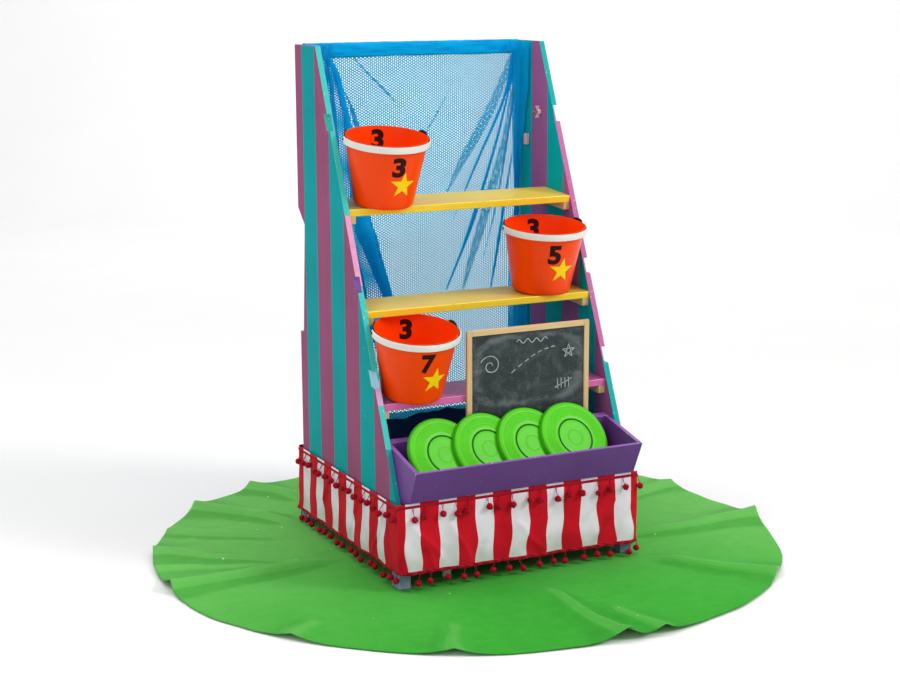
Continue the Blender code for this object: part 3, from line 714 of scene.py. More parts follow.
# ------------------------------------------------------------ buckets, ears and bails
W = 0.0017
SEG = 144
for k, (bx, by, bz, tilt) in BUCKETS.items():
    base = Matrix.Translation((bx, BY - by, bz)) @ Matrix.Rotation(math.radians(tilt), 4, "X") @ \
        Matrix.Rotation(math.radians(-12.0), 4, "Z")
    body, bail_body = "bucket_body_%d" % k, "bail_body_%d" % k
    prof = [(0.0, 0.0012), (0.050, 0.0012), (0.0690, 0.0012), (0.0700, 0.0002), (0.0790, 0.0000), (0.0805, 0.0002),
            (0.0832, 0.0009), (0.0850, 0.0024), (0.0862, 0.0046), (bucket_r(0.008), 0.008)]
    prof += [(bucket_r(z), z) for z in np.linspace(0.020, 0.166, 9)]
    prof += [(bucket_r(0.1680) - 0.0001, 0.1680), (bucket_r(0.1692) + 0.0003, 0.1692), (bucket_r(0.1712) + 0.0003, 0.1712)]
    prof += [(bucket_r(z), z) for z in (0.1730, 0.182, 0.1940)]
    for i in range(7):
        a = math.radians(180 * i / 6)
        prof.append((BRT - W / 2 + (W / 2) * math.cos(a), BH - 0.0010 + 0.0010 * math.sin(a)))
    prof += [(bucket_r(z) - W, z) for z in np.linspace(0.190, 0.020, 9)]
    prof += [(bucket_r(0.012) - W - 0.0004, 0.012), (0.0835, 0.0072), (0.0812, 0.0048), (0.0780, 0.0034), (0.060, 0.0030),
             (0.0590, 0.0034), (0.0560, 0.0034), (0.0550, 0.0030), (0.0, 0.0030)]
    prof = [(r, z) for r, z in prof]
    v, f = lathe(prof, SEG)
    b = sharp(outward(mesh_from("bucket_shell_%d" % k, v, f, [M_BUCKET])), 40)
    place(b, base)
    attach(b, body)
    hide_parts("bucket_%d" % k)
    # numbers and stars
    ch = {1: "3", 2: "5", 3: "7"}[k]
    ang, zc = {1: (-80.7, 0.1320), 2: (-88.5, 0.1300), 3: (-82.3, 0.1330)}[k]
    d = sticker("bucket_digit_%d" % k, glyph(ch, 0.0400, 0.0600), ang, zc, 0.00015, M_DIGIT)
    sa, sz = {1: (-69.9, 0.0765), 2: (-72.1, 0.0798), 3: (-66.1, 0.0772)}[k]
    s = sticker("bucket_star_%d" % k, star(0.0410, -3.0), sa, sz, 0.00040, M_STAR)
    ia, iz = {1: (91.6, 0.1575), 2: (90.3, 0.1545), 3: (91.9, 0.1520)}[k]
    i_ = sticker("bucket_inner_digit_%d" % k, glyph("3", 0.0380, 0.0590), ia, iz, 0.00015, M_DIGIT, inside=True)
    for o in (d, s, i_):
        place(o, base)
        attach(o, body)
    # hinge ears keep their shape, with softened edges
    for sd in ("left", "right"):
        n = "ear_%d_%s" % (k, sd)
        wear_mat(n, M_BLACK)
        m = NODES[n].modifiers.new("soft", "BEVEL")
        m.width = 0.0006
        m.segments = 2
        m.limit_method = "ANGLE"
        m.angle_limit = math.radians(40)
        s_, vs, fs = (1 if sd == "right" else -1), [], []
        for a in np.linspace(62.0, 84.0, 15):
            u = (a - 73.0) / 11.0
            top = BH + 0.0016 + 0.0062 * math.sqrt(max(0.0, 1 - u * u))
            for r, z in round_section(bucket_r(BH) + 0.0002, 0.1212, BH - 0.0040, top, 0.0006):
                t_ = math.radians(90 - a if s_ > 0 else 90 + a)
                vs.append((r * math.cos(t_), r * math.sin(t_), z))
        n_ = len(vs) // 15
        fs = grid_faces(15, n_, close_m=True) + [tuple(range(n_)), tuple(reversed(range(14 * n_, 15 * n_)))]
        sh = sharp(outward(mesh_from("ear_shoulder_%d_%s" % (k, sd), vs, fs, [M_BLACK])), 40)
        place(sh, base)
        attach(sh, body)
    # flat bail: rounded section, half-round ends over the pivots
    R0, R1, HW = 0.1232, 0.1258, 0.0095
    half = 94.6
    angs = np.concatenate([np.linspace(-half, -86, 14), np.linspace(-84, 84, 100), np.linspace(86, half, 14)])
    verts, rows = [], 0
    for a in angs:
        over = max(0.0, abs(a) - 90.0) * math.radians(1) * 0.1245
        inner_ = HW if over <= 0 else math.sqrt(max(HW * HW - (over * HW / 0.0101) ** 2, 0.0012 ** 2))
        sec = round_section(R0, R1, -inner_, inner_, min(0.0009, inner_ * 0.4))
        t_ = math.radians(-90 + a)
        for r, z in sec:
            verts.append((r * math.cos(t_), r * math.sin(t_), z))
        rows += 1
    n = len(verts) // rows
    faces = grid_faces(rows, n, close_m=True) + [tuple(range(n)), tuple(reversed(range((rows - 1) * n, rows * n)))]
    parts = [(verts, faces, 0)]
    for s_ in (1, -1):
        bp = [(0.0, 0.0030), (0.0022, 0.0028), (0.0036, 0.0020), (0.0042, 0.0008), (0.0042, 0.0)]
        bv, bf = lathe(bp, 28)
        M = Matrix.Translation((s_ * 0.1254, 0, 0)) @ Matrix.Rotation(math.radians(90 * s_), 4, "Y")
        parts.append(([M @ Vector(p) for p in bv], bf, 1))
    bail = sharp(outward(join_parts("bail_band_%d" % k, parts, [M_BAND, M_BLACK])), 40)
    place(bail, base @ Matrix.Translation((0, 0, BH - PIVOT_DROP)))
    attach(bail, bail_body)
    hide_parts("bail_%d" % k)

# ------------------------------------------------------------ discs
R = DISC_R


def disc_top():
    """(radius, z, material) down the upper face: centre, fine ring, flat, dark ring, ridges, shoulder."""
    p = [(0.0, -0.0002, 0)]
    for r in np.linspace(0.03, 0.17, 4):
        p.append((R * r, -0.0002 + 0.0001 * r, 0))
    p += [(R * 0.190, -0.0002, 0), (R * 0.197, -0.0006, 3), (R * 0.206, -0.0006, 3), (R * 0.213, -0.0002, 0)]
    p += [(R * 0.25, -0.0002, 0), (R * 0.40, -0.0001, 0), (R * 0.460, -0.0001, 0)]
    p += [(R * 0.466, -0.0003, 0), (R * 0.469, -0.0014, 2), (R * 0.507, -0.0014, 2), (R * 0.510, -0.0003, 2), (R * 0.516, 0.0000, 0)]
    p += [(R * 0.56, 0.0000, 0)]
    for i, c in enumerate((0.615, 0.670, 0.725, 0.780, 0.835)):
        p += [(R * (c - 0.014), -0.0001, 0), (R * (c - 0.007), 0.0004, 0), (R * c, 0.0005, 0), (R * (c + 0.006), 0.0001, 0),
              (R * (c + 0.011), -0.0005, 3), (R * (c + 0.016), -0.0006, 3), (R * (c + 0.021), -0.0003, 0)]
    # index 1, from the shoulder round the rim and the underside, is the darker green of painted shade
    p += [(R * 0.885, -0.0006, 0), (R - 0.0100, -0.0010, 0), (R - 0.0070, -0.0018, 0), (R - 0.0045, -0.0032, 0),
          (R - 0.0025, -0.0052, 1), (R - 0.0012, -0.0076, 1), (R - 0.0004, -0.0100, 1), (R, -0.0118, 1), (R - 0.0001, -0.0138, 1),
          (R - 0.0006, -0.0152, 1), (R - 0.0018, -0.0160, 1), (R - 0.0034, -0.0160, 1), (R - 0.0042, -0.0148, 1),
          (R - 0.0045, -0.0095, 1), (R - 0.0060, -0.0062, 1), (R - 0.0090, -0.0042, 1), (R * 0.85, -0.0030, 1)]
    p += [(R * 0.62, -0.0028, 1), (R * 0.615, -0.0040, 1), (R * 0.600, -0.0040, 1), (R * 0.595, -0.0028, 1), (0.0, -0.0028, 1)]
    return p


dp = disc_top()
for k in range(1, 5):
    c = Vector((0.219 - (4 - k) * 0.1385, BY - 0.6695, 0.3625))
    mw = Matrix.Translation(c) @ Matrix.Rotation(math.radians(8.5), 4, "Z") @ Matrix.Rotation(math.radians(54.0), 4, "X")
    seg = 160
    v, f = lathe([(r, z) for r, z, _ in dp], seg)
    # faces come row by row
    idx = []
    for i in range(len(dp) - 1):
        mi = max(dp[i][2], dp[i + 1][2]) if dp[i][2] == dp[i + 1][2] or 2 not in (dp[i][2], dp[i + 1][2]) else dp[i + 1][2]
        # groove floors between two index-3 points take the painted-shade green
        if dp[i][2] == 3 and dp[i + 1][2] == 3:
            mi = 3
        elif 3 in (dp[i][2], dp[i + 1][2]):
            mi = 0
        idx += [mi] * seg
    d = mesh_from("flying_disc_%d" % k, v, f, [M_DISC, M_DISC_RIM_SHADED, M_DISC_RING, M_DISC_GROOVE_SHADE], idx=idx)
    outward(d)
    sharp(d, 60)
    place(d, mw)
    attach(d, "disc_body_%d" % k)
    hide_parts("disc_%d" % k)

# ------------------------------------------------------------ wing nut
t = NT("nut_pink", 0.5)
pn = t.noise(140.0, 3)
c = t.ramp(pn, [(0.3, lin("#D9B6B4")), (0.6, lin("#EBCFCB")), (0.75, lin("#F2E2DC"))])
c = t.mix(t.steps(t.noise(260.0, 2), 0.62, 0.68), c, lin("#8C7A6E"))
t.color(c)
t.roughness(pn, 0.35, 0.55)
t.bump(pn, 0.2, 0.0003)
M_NUT = t.m
nut_x, nut_y, nut_z = XR - PANEL_T - 0.0003 - 0.0045, BY - 0.169, 1.256
parts = []
hub = [(0.0043, 0.0045), (0.0085, 0.0045), (0.0085, 0.0030), (0.0072, -0.0035), (0.0066, -0.0042), (0.0043, -0.0045)]
hv, hf = lathe(hub + [hub[0]], 40)
Mh = Matrix.Rotation(math.radians(90), 4, "Y")
parts.append(([Mh @ Vector(p) for p in hv], hf, 0))
for s_ in (1, -1):
    out = [(0.0030, 0.0048), (0.0022, 0.0090), (0.0024, 0.0140), (0.0020, 0.0176), (0.0002, 0.0188), (-0.0046, 0.0174), (-0.0088, 0.0188),
           (-0.0110, 0.0180), (-0.0106, 0.0142), (-0.0072, 0.0098), (-0.0046, 0.0062), (-0.0036, 0.0048)]
    n = len(out)
    vv = [(x, -0.0015, s_ * z) for x, z in out] + [(x, 0.0015, s_ * z) for x, z in out]
    ff = [tuple(range(n)), tuple(reversed(range(n, 2 * n)))] + [(i, (i + 1) % n, n + (i + 1) % n, n + i) for i in range(n)]
    parts.append((vv, ff, 0))
nut = outward(join_parts("wing_nut_cast", parts, [M_NUT]))
m = nut.modifiers.new("round", "BEVEL")
m.width = 0.0007
m.segments = 3
m.limit_method = "ANGLE"
m.angle_limit = math.radians(40)
sharp(nut, 50)
place(nut, Matrix.Translation((nut_x, nut_y, nut_z)))
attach(nut, "nut_body")
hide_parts("wing_nut")

# ------------------------------------------------------------ chalk drawing: spiral, throw line, tallies, star
t = NT("chalk", 0.95, 0.1)
cn = t.noise(900.0, 2, 0.6)
t.color(t.mix(t.steps(cn, 0.40, 0.58), lin("#5B6463"), lin("#D3D6D3")))
t.bump(cn, 0.4, 0.0004)
M_CHALK = t.m
CY = BY - (0.5886 - 0.004) - 0.00045


def chalk(points, width=0.0026):
    """Ribbon of chalk on the slate through (x, z) points."""
    P = [Vector((x, z)) for x, z in points]
    vs, fs = [], []
    for i, p in enumerate(P):
        d = (P[min(i + 1, len(P) - 1)] - P[max(i - 1, 0)]).normalized()
        nrm = Vector((-d.y, d.x))
        w = width * (0.52 + 0.24 * noise.noise((p.x * 90, p.y * 90, 1.7)))
        for s_ in (1, -1):
            q = p + nrm * w * s_
            vs.append((q.x, CY, q.y))
    for i in range(len(P) - 1):
        a = 2 * i
        fs.append((a, a + 1, a + 3, a + 2))
    return vs, fs, 0


def shaky(x, z, k=0.0012):
    return (x + k * noise.noise((x * 40, z * 40, 0.3)), z + k * noise.noise((x * 40, z * 40, 5.1)))


strokes = []
strokes.append([shaky(-0.022 + (0.004 + 0.0052 * a / 1.57) * math.cos(a), 0.578 + (0.004 + 0.0048 * a / 1.57) * math.sin(a))
                for a in np.linspace(0, 4.6 * math.pi / 1.6, 90)])
for i in range(7):                     # dashes of a throw line rising to the right
    u0, u1 = 0.045 + i * 0.0215, 0.045 + i * 0.0215 + 0.0125
    strokes.append([shaky(u, 0.540 + 0.085 * math.sin((u - 0.03) * 9.5) * 0.9) for u in np.linspace(u0, u1, 8)])
sx, sz, sr = 0.232, 0.598, 0.021
five = [(sx + sr * math.sin(TAU * 2 * i / 5), sz + sr * math.cos(TAU * 2 * i / 5)) for i in range(6)]
star_line = []
for a, b_ in zip(five, five[1:]):
    star_line += [shaky(a[0] + (b_[0] - a[0]) * q, a[1] + (b_[1] - a[1]) * q, 0.0008) for q in np.linspace(0, 1, 9)]
strokes.append(star_line)
for i in range(4):                     # tally marks
    strokes.append([shaky(0.196 + 0.012 * i + 0.002 * q, 0.520 - 0.030 * q) for q in np.linspace(0, 1, 7)])
strokes.append([shaky(0.188 + 0.056 * q, 0.493 + 0.024 * q) for q in np.linspace(0, 1, 12)])
strokes.append([shaky(0.062 + 0.100 * q, 0.640 + 0.006 * math.sin(q * 22)) for q in np.linspace(0, 1, 50)])
cb = join_parts("chalk_marks", [chalk([(x + 0.009, z) for x, z in s]) for s in strokes], [M_CHALK])
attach(cb, "board_body")

# ------------------------------------------------------------ net cloth
def net_material(name, hole, thread_a, thread_b, pitch):
    """Knitted net: rounded holes in a staggered lattice, laid in the cloth's own coordinates (metres)."""
    t = NT(name, 0.8, 0.06)
    uv = t.uv()
    wob = t.n("ShaderNodeTexNoise")
    t.l(uv, wob.inputs["Vector"])
    wob.inputs["Scale"].default_value = 60.0
    wob.inputs["Detail"].default_value = 1.0
    off = t.vmath("MULTIPLY", t.vmath("SUBTRACT", wob.outputs["Color"], (0.5, 0.5, 0.5)), (0.0022, 0.0022, 0.0))
    x, y, _ = t.xyz(t.vmath("ADD", uv, off))
    kx = TAU / pitch
    s60 = math.sqrt(3) / 2
    a = t.math("COSINE", t.math("MULTIPLY", x, kx))
    b = t.math("COSINE", t.math("ADD", t.math("MULTIPLY", x, kx * 0.5), t.math("MULTIPLY", y, kx * s60)))
    c = t.math("COSINE", t.math("SUBTRACT", t.math("MULTIPLY", x, kx * 0.5), t.math("MULTIPLY", y, kx * s60)))
    f = t.math("ADD", a, t.math("ADD", b, c))
    alpha = t.math("LESS_THAN", f, hole)
    t.l(alpha, t.b.inputs["Alpha"])
    soft = t.noise(30.0, 3, src=uv)
    col = t.ramp(soft, [(0.3, thread_a), (0.7, thread_b)])
    t.color(col)
    fib = t.noise(900.0, 2, src=uv)
    t.bump(t.math("ADD", t.math("MULTIPLY", f, -0.35), t.math("MULTIPLY", fib, 0.3)), 0.5, 0.0008)
    # much of the light on the thread goes through it
    through = t.n("ShaderNodeBsdfTranslucent")
    t.l(col, through.inputs["Color"])
    both = t.n("ShaderNodeMixShader")
    t.l(t.math("MULTIPLY", alpha, 0.6), both.inputs[0])
    t.l(t.b.outputs[0], both.inputs[1])
    t.l(through.outputs[0], both.inputs[2])
    t.l(both.outputs[0], t.out.inputs["Surface"])
    return t.m


M_NET = net_material("net_mesh", 0.58, lin("#24B4E0"), lin("#3EC2EA"), 0.0070)
M_NETD = net_material("net_double", 0.85, lin("#10AEE2"), lin("#20BCEE"), 0.0066)
# the folded layers carry a brighter, bluer copy of the thread colour: painted light for the light passing through the
# folds
M_NETF_LIT = net_material("net_folded_lit", 2.3, lin("#06C4F6"), lin("#10CEFC"), 0.0052)

NET_Y = BY - 0.0360                      # the sheet's plane, just in front of the rail
NZ0, NZ1 = 0.312, 1.4335
nv, nf, nuv, nmi = [], [], [], []


def add_grid(points, uvs, rows, cols, mi):
    o = len(nv)
    nv.extend(points)
    nuv.extend(uvs)
    fs = grid_faces(rows, cols)
    nf.extend([tuple(i + o for i in q) for q in fs])
    nmi.extend([mi] * len(fs))


def net_depth(x, z):
    """How far the hanging sheet stands in front of its plane."""
    top = min(1.0, max(0.0, (NZ1 - z) / 0.25))
    d = 0.004 * math.sin(x * 23 + z * 6.0 + 0.6) + 0.003 * math.sin(x * 41 - z * 9.0) + 0.0025 * noise.noise((x * 6, z * 4, 2.2))
    return 0.002 + top * (d + 0.004)


# main sheet
cols, rows = 150, 190
pts, uvs = [], []
for i in range(rows):
    z = NZ1 - (NZ1 - NZ0) * i / (rows - 1)
    for j in range(cols):
        x = -0.3430 + (0.3690 + 0.3430) * j / (cols - 1)
        near = max(0.0, 1 - (z - NZ0) / 0.15)
        hem = (0.006 * math.sin(x * 16) + 0.003 * math.sin(x * 61 + 1.0) + 0.003 * noise.noise((x * 40, 2.0, 5.0))) * near
        pts.append((x, NET_Y - net_depth(x, z), z + hem))
        uvs.append((x * 1.05, z))
add_grid(pts, uvs, rows, cols, 0)


def path_at(line, u):
    """Point of a polyline of (x, z, width) at share u, smoothed."""
    n = len(line) - 1
    s = u * n
    i = min(int(s), n - 1)
    f = s - i
    p0, p1, p2, p3 = line[max(i - 1, 0)], line[i], line[i + 1], line[min(i + 2, n)]
    return tuple(0.5 * (2 * b + (c - a) * f + (2 * a - 5 * b + 4 * c - d) * f * f + (3 * b - a - 3 * c + d) * f ** 3)
                 for a, b, c, d in zip(p0, p1, p2, p3))


def tuck(line, layers=3, lift=0.004, mi=1, rows_=70, seed=0.0):
    """A tuck of the sheet along a line of (x, z, width): the cloth runs to and fro across it."""
    n_across = 5 * layers
    pts, uvs = [], []
    length = 0.0
    prev = None
    for i in range(rows_):
        u = i / (rows_ - 1)
        x, z, w = path_at(line, u)
        x2, z2, _ = path_at(line, min(1.0, u + 0.01))
        x1, z1, _ = path_at(line, max(0.0, u - 0.01))
        d = Vector((x2 - x1, z2 - z1)).normalized()
        nrm = Vector((-d.y, d.x))
        if prev is not None:
            length += math.hypot(x - prev[0], z - prev[1])
        prev = (x, z)
        w = max(w, 0.0006)
        for j in range(n_across + 1):
            s = j / n_across * layers
            k, fr = int(min(s, layers - 1e-6)), s - int(min(s, layers - 1e-6))
            across = (fr if k % 2 == 0 else 1 - fr) - 0.5
            across *= 1.0 - 0.10 * k
            depth = lift * (0.35 + 0.65 * (k + 0.5 - 0.5 * math.cos(math.pi * fr)) / layers)
            depth += 0.25 * w * max(0.0, 1 - (2 * across) ** 2) * 0.35
            wob = 0.0015 * noise.noise((u * 9, k * 3.1 + seed, 0.4))
            px = x + nrm.x * (across * w + wob)
            pz = z + nrm.y * (across * w + wob)
            pts.append((px, NET_Y - net_depth(px, pz) - 0.0006 - depth, pz))
            uvs.append((seed + s * w, length))
    add_grid(pts, uvs, rows_, n_across + 1, mi)


F1 = ((1.450, -0.287), (1.383, -0.249), (1.309, -0.231), (1.234, -0.214), (1.090, -0.195), (0.928, -0.170), (0.878, -0.152),
      (0.831, -0.138), (0.767, -0.116), (0.706, -0.094), (0.589, -0.060))
# the slack between the left edge and the long fold lies double
pts, uvs = [], []
for i in range(120):
    z = 1.4330 - 0.833 * i / 119
    xf = float(np.interp(z, [a[0] for a in reversed(F1)], [a[1] for a in reversed(F1)]))
    for j in range(26):
        x = -0.3425 + (xf + 0.3425) * j / 25
        pts.append((x, NET_Y - net_depth(x, z) - 0.0012 - 0.0008 * math.sin(j * 0.9 + z * 8) ** 2, z))
        uvs.append((x * 1.05 + 0.0023, z + 0.0017))
add_grid(pts, uvs, 120, 26, 3)
tuck([(-0.287, 1.450, 0.014), (-0.249, 1.383, 0.018), (-0.231, 1.309, 0.021), (-0.214, 1.234, 0.023), (-0.195, 1.090, 0.045),
      (-0.170, 0.928, 0.064), (-0.152, 0.878, 0.061), (-0.138, 0.831, 0.052), (-0.116, 0.767, 0.043), (-0.094, 0.706, 0.034),
      (-0.051, 0.589, 0.014), (-0.020, 0.480, 0.004)], 2, 0.006, 1, 150, 0.3)
tuck([(-0.292, 1.450, 0.008), (-0.270, 1.379, 0.010), (-0.262, 1.310, 0.015), (-0.258, 1.235, 0.017), (-0.246, 1.090, 0.020),
      (-0.216, 0.900, 0.020), (-0.186, 0.772, 0.024), (-0.176, 0.715, 0.026), (-0.150, 0.600, 0.014), (-0.120, 0.500, 0.004)], 2, 0.005, 3, 110, 1.1)
tuck([(-0.262, 1.430, 0.003), (-0.235, 1.349, 0.004), (-0.212, 1.308, 0.005), (-0.186, 1.233, 0.017), (-0.150, 1.100, 0.012),
      (-0.120, 1.000, 0.003)], 2, 0.004, 3, 70, 1.7)
tuck([(-0.193, 1.430, 0.003), (-0.140, 1.375, 0.005), (-0.092, 1.329, 0.007), (-0.060, 1.296, 0.002)], 2, 0.003, 2, 40, 2.3)
tuck([(0.350, 1.425, 0.020), (0.318, 1.310, 0.011), (0.262, 1.190, 0.008), (0.215, 1.090, 0.007), (0.183, 1.020, 0.005),
      (0.135, 0.920, 0.002)], 2, 0.005, 1, 90, 2.9)
tuck([(0.345, 1.370, 0.008), (0.305, 1.235, 0.008), (0.262, 1.095, 0.009), (0.237, 1.014, 0.010), (0.213, 0.940, 0.014),
      (0.182, 0.860, 0.011), (0.140, 0.770, 0.007), (0.108, 0.705, 0.003)], 2, 0.005, 1, 110, 3.6)
tuck([(0.346, 1.290, 0.005), (0.320, 1.150, 0.006), (0.294, 1.011, 0.006), (0.270, 0.900, 0.004), (0.240, 0.790, 0.002)], 2, 0.004, 1, 70, 4.2)
tuck([(0.342, 1.120, 0.004), (0.320, 1.009, 0.007), (0.303, 0.900, 0.010), (0.285, 0.780, 0.008), (0.262, 0.660, 0.003)], 2, 0.005, 1, 70, 4.8)
# broad slack pleats of doubled mesh that fan out from the right bunch
tuck([(0.352, 1.440, 0.020), (0.300, 1.330, 0.026), (0.238, 1.215, 0.030), (0.165, 1.100, 0.026), (0.110, 1.010, 0.004)], 1, 0.003, 0, 80, 6.2)
tuck([(0.346, 1.330, 0.016), (0.322, 1.200, 0.022), (0.282, 1.060, 0.028), (0.240, 0.920, 0.030), (0.196, 0.790, 0.022), (0.160, 0.690, 0.004)], 1, 0.0025, 0, 90, 6.9)
tuck([(0.130, 1.330, 0.001), (0.075, 1.240, 0.004), (0.020, 1.170, 0.001)], 2, 0.003, 2, 40, 5.5)


def swag(A, B, z0, z1, pleats, depth, mi, rows_, cols_, seed):
    """Bunched edge of the cloth hanging in pleats between two plan points A(z) and B(z)."""
    pts, uvs = [], []
    for i in range(rows_):
        u = i / (rows_ - 1)
        z = z0 + (z1 - z0) * u
        a, b = Vector(A(z)), Vector(B(z))
        d = b - a
        L = max(d.length, 1e-4)
        nrm = Vector((d.y, -d.x)).normalized()
        if nrm.y > 0:
            nrm = -nrm
        run, prev = 0.0, None
        for j in range(cols_):
            s = j / (cols_ - 1)
            ph = TAU * pleats * (s + 0.035 * math.sin(TAU * s * 1.7 + seed) + 0.02 * math.sin(z * 9 + seed))
            over = 0.55 / pleats * math.sin(2 * ph) * 0.9
            zig = depth * (0.5 + 0.5 * math.sin(ph)) * (0.75 + 0.35 * noise.noise((s * 4, z * 3, seed)))
            p = a + d * min(1.0, max(0.0, s + over * 0.35)) + nrm * zig
            run += 0.0 if prev is None else (p - prev).length
            prev = p
            pts.append((p.x, p.y, z + 0.002 * math.sin(ph + 1.0)))
            uvs.append((seed * 0.1 + run, z))
    add_grid(pts, uvs, rows_, cols_, mi)


def lerp_table(tab):
    def f(z):
        for (za, xa, ya), (zb, xb, yb) in zip(tab, tab[1:]):
            if z >= zb:
                k = (za - z) / (za - zb) if za != zb else 0
                k = min(1.0, max(0.0, k))
                k = k * k * (3 - 2 * k)
                return (xa + (xb - xa) * k, BY - (ya + (yb - ya) * k))
        return (tab[-1][1], BY - tab[-1][2])
    return f


# right bunch: from the net's plane round to the right panel, narrowing on its way down
swag(lerp_table([(1.470, 0.330, 0.040), (1.430, 0.3470, 0.045), (1.0, 0.3480, 0.042), (0.84, 0.345, 0.040), (0.70, 0.338, 0.040), (0.48, 0.336, 0.040)]),
     lerp_table([(1.470, 0.3640, 0.118), (1.345, 0.3640, 0.110), (1.225, 0.3640, 0.086), (1.140, 0.3640, 0.066), (1.010, 0.3660, 0.048), (0.84, 0.3660, 0.048), (0.66, 0.3650, 0.108), (0.48, 0.3650, 0.112)]),
     1.4690, 0.480, 4, 0.013, 1, 140, 90, 0.7)
# left bunch against the left panel
swag(lerp_table([(1.470, -0.3400, 0.090), (1.34, -0.3400, 0.070), (1.2, -0.3400, 0.050), (0.60, -0.3400, 0.042)]),
     lerp_table([(1.470, -0.2650, 0.046), (1.42, -0.2760, 0.045), (1.2, -0.300, 0.044), (0.95, -0.318, 0.042), (0.60, -0.330, 0.041)]),
     1.4690, 0.600, 4, 0.012, 3, 120, 90, 2.1)

net = mesh_from("net_cloth", nv, nf, [M_NET, M_NETF_LIT, M_NET, M_NETD], uv=nuv, idx=nmi)
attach(net, "booth")
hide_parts("back_net")

# casing along the rail: the cloth's rolled top edge, over the rail and down behind it
t = NT("net_casing", 0.8, 0.05)
uvn = t.uv()
w1 = t.noise(1.0, 3, 0.6, src=t.vmath("MULTIPLY", uvn, (10.0, 90.0, 1.0)))
w2 = t.noise(700.0, 2, 0.5, src=uvn)
t.color(t.ramp(w1, [(0.25, lin("#0078BA")), (0.5, lin("#009AD8")), (0.75, lin("#02AAE4"))]))
t.roughness(w2, 0.65, 0.85)
t.bump(t.math("ADD", w2, t.math("MULTIPLY", w1, 1.5)), 0.45, 0.0008)
M_CAS = t.m
sec = []                                 # (depth in front of the panels' rear, z) round the rail
for yp, z in ((0.0400, 1.4290), (0.0392, 1.4360), (0.0384, 1.4460), (0.0374, 1.4560), (0.0356, 1.4640), (0.0325, 1.4688), (0.0270, 1.4705),
              (0.0190, 1.4705), (0.0125, 1.4695), (0.0088, 1.4660), (0.0080, 1.4600), (0.0080, 1.4520), (0.0084, 1.4440), (0.0088, 1.4380)):
    sec.append((yp, z))
cols = 220
pts, uvs = [], []
for i, (yp, z) in enumerate(sec):
    for j in range(cols):
        x = -0.3420 + 0.7100 * j / (cols - 1)
        w_ = 0.0012 * noise.noise((x * 30, z * 60, 0.0)) + 0.0009 * math.sin(x * 55 + z * 160 + 2 * noise.noise((x * 5, 0, 3)))
        low = 0.0022 * noise.noise((x * 9, 7.7, 0.0)) if i == 0 else 0.0
        pts.append((x, BY - yp - (abs(w_) if i < 6 else -abs(w_) if i > 8 else 0), z + (abs(w_) * 0.7 if 5 <= i <= 8 else 0) + low))
        uvs.append((x, i * 0.0085))
cas = mesh_from("net_casing", pts, grid_faces(len(sec), cols), [M_CAS], uv=uvs)
m = cas.modifiers.new("hem", "SOLIDIFY")
m.thickness = 0.0012
m.offset = 1.0
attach(cas, "booth")

# ------------------------------------------------------------ skirt
SK_HALF, SK_FRONT, SK_REAR = 0.3795, 0.7355, -0.0335
RC, RCB = 0.016, 0.012


def skirt_path():
    """Plan points (x, world y, outward normal, side, run) from the rear-left corner, round the front, to the rear."""
    out = []
    x0, x1 = BX - SK_HALF, BX + SK_HALF
    yf, yr = BY - SK_FRONT, BY - SK_REAR
    step = 0.006

    def line(a, b, nrm, side):
        L = math.hypot(b[0] - a[0], b[1] - a[1])
        n = max(2, int(L / step))
        for i in range(n):
            f = i / n
            out.append(((a[0] + (b[0] - a[0]) * f, a[1] + (b[1] - a[1]) * f), nrm, side))

    def arc(c, r, a0, a1, side):
        n = 6
        for i in range(n):
            a = math.radians(a0 + (a1 - a0) * i / n)
            out.append(((c[0] + r * math.cos(a), c[1] + r * math.sin(a)), (math.cos(a), math.sin(a)), side))
    line((x0, yr - RCB), (x0, yf + RC), (-1, 0), "left")
    arc((x0 + RC, yf + RC), RC, 180, 270, "corner1")
    line((x0 + RC, yf), (x1 - RC, yf), (0, -1), "front")
    arc((x1 - RC, yf + RC), RC, 270, 360, "corner2")
    line((x1, yf + RC), (x1, yr - RCB), (1, 0), "right")
    arc((x1 - RCB, yr - RCB), RCB, 0, 90, "corner3")
    line((x1 - RCB, yr), (x0 + RCB, yr), (0, 1), "back")
    arc((x0 + RCB, yr - RCB), RCB, 90, 180, "corner4")
    out.append(((x0, yr - RCB), (-1, 0), "left_end"))
    return out


SP = skirt_path()
run = [0.0]
for (p, _, _), (q, _, _) in zip(SP, SP[1:]):
    run.append(run[-1] + math.hypot(q[0] - p[0], q[1] - p[1]))
TOTAL = run[-1]


def stripe_phase(i):
    """White where the fraction is under a half."""
    (x, y), _, side = SP[i]
    yp = BY - y
    if side == "left":
        return (yp - 0.0166) / 0.1145 if yp < 0.650 else 5.75
    if side == "corner1":
        return 5.80
    if side == "front":
        return 6 + (x + 0.3643) / 0.1124
    if side == "corner2":
        return 12.75
    ls = run[i] - run[[s for _, _, s in SP].index("right")]
    if side == "right":
        return 12.72 + ls / 0.1135
    return 12.72 + ls / 0.1135


def skirt_top(x, y):
    """Height of the upper edge: a little lower towards the rear."""
    yp = BY - y
    f = max(0.0, min(1.0, (yp + 0.034) / 0.74))
    z = 0.2395 + 0.0085 * f
    if yp > 0.715:
        z += 0.0080 * min(1.0, (yp - 0.715) / 0.018)
    return z


def skirt_hem(x, y):
    yp = BY - y
    f = max(0.0, min(1.0, (yp + 0.034) / 0.74))
    if yp > 0.70:
        g = (x + 0.3665) / 0.759
        return 0.0550 - 0.0120 * g
    left = x < BX
    return (0.0400 + 0.0150 * f) if left else (0.0405 + 0.0030 * f)


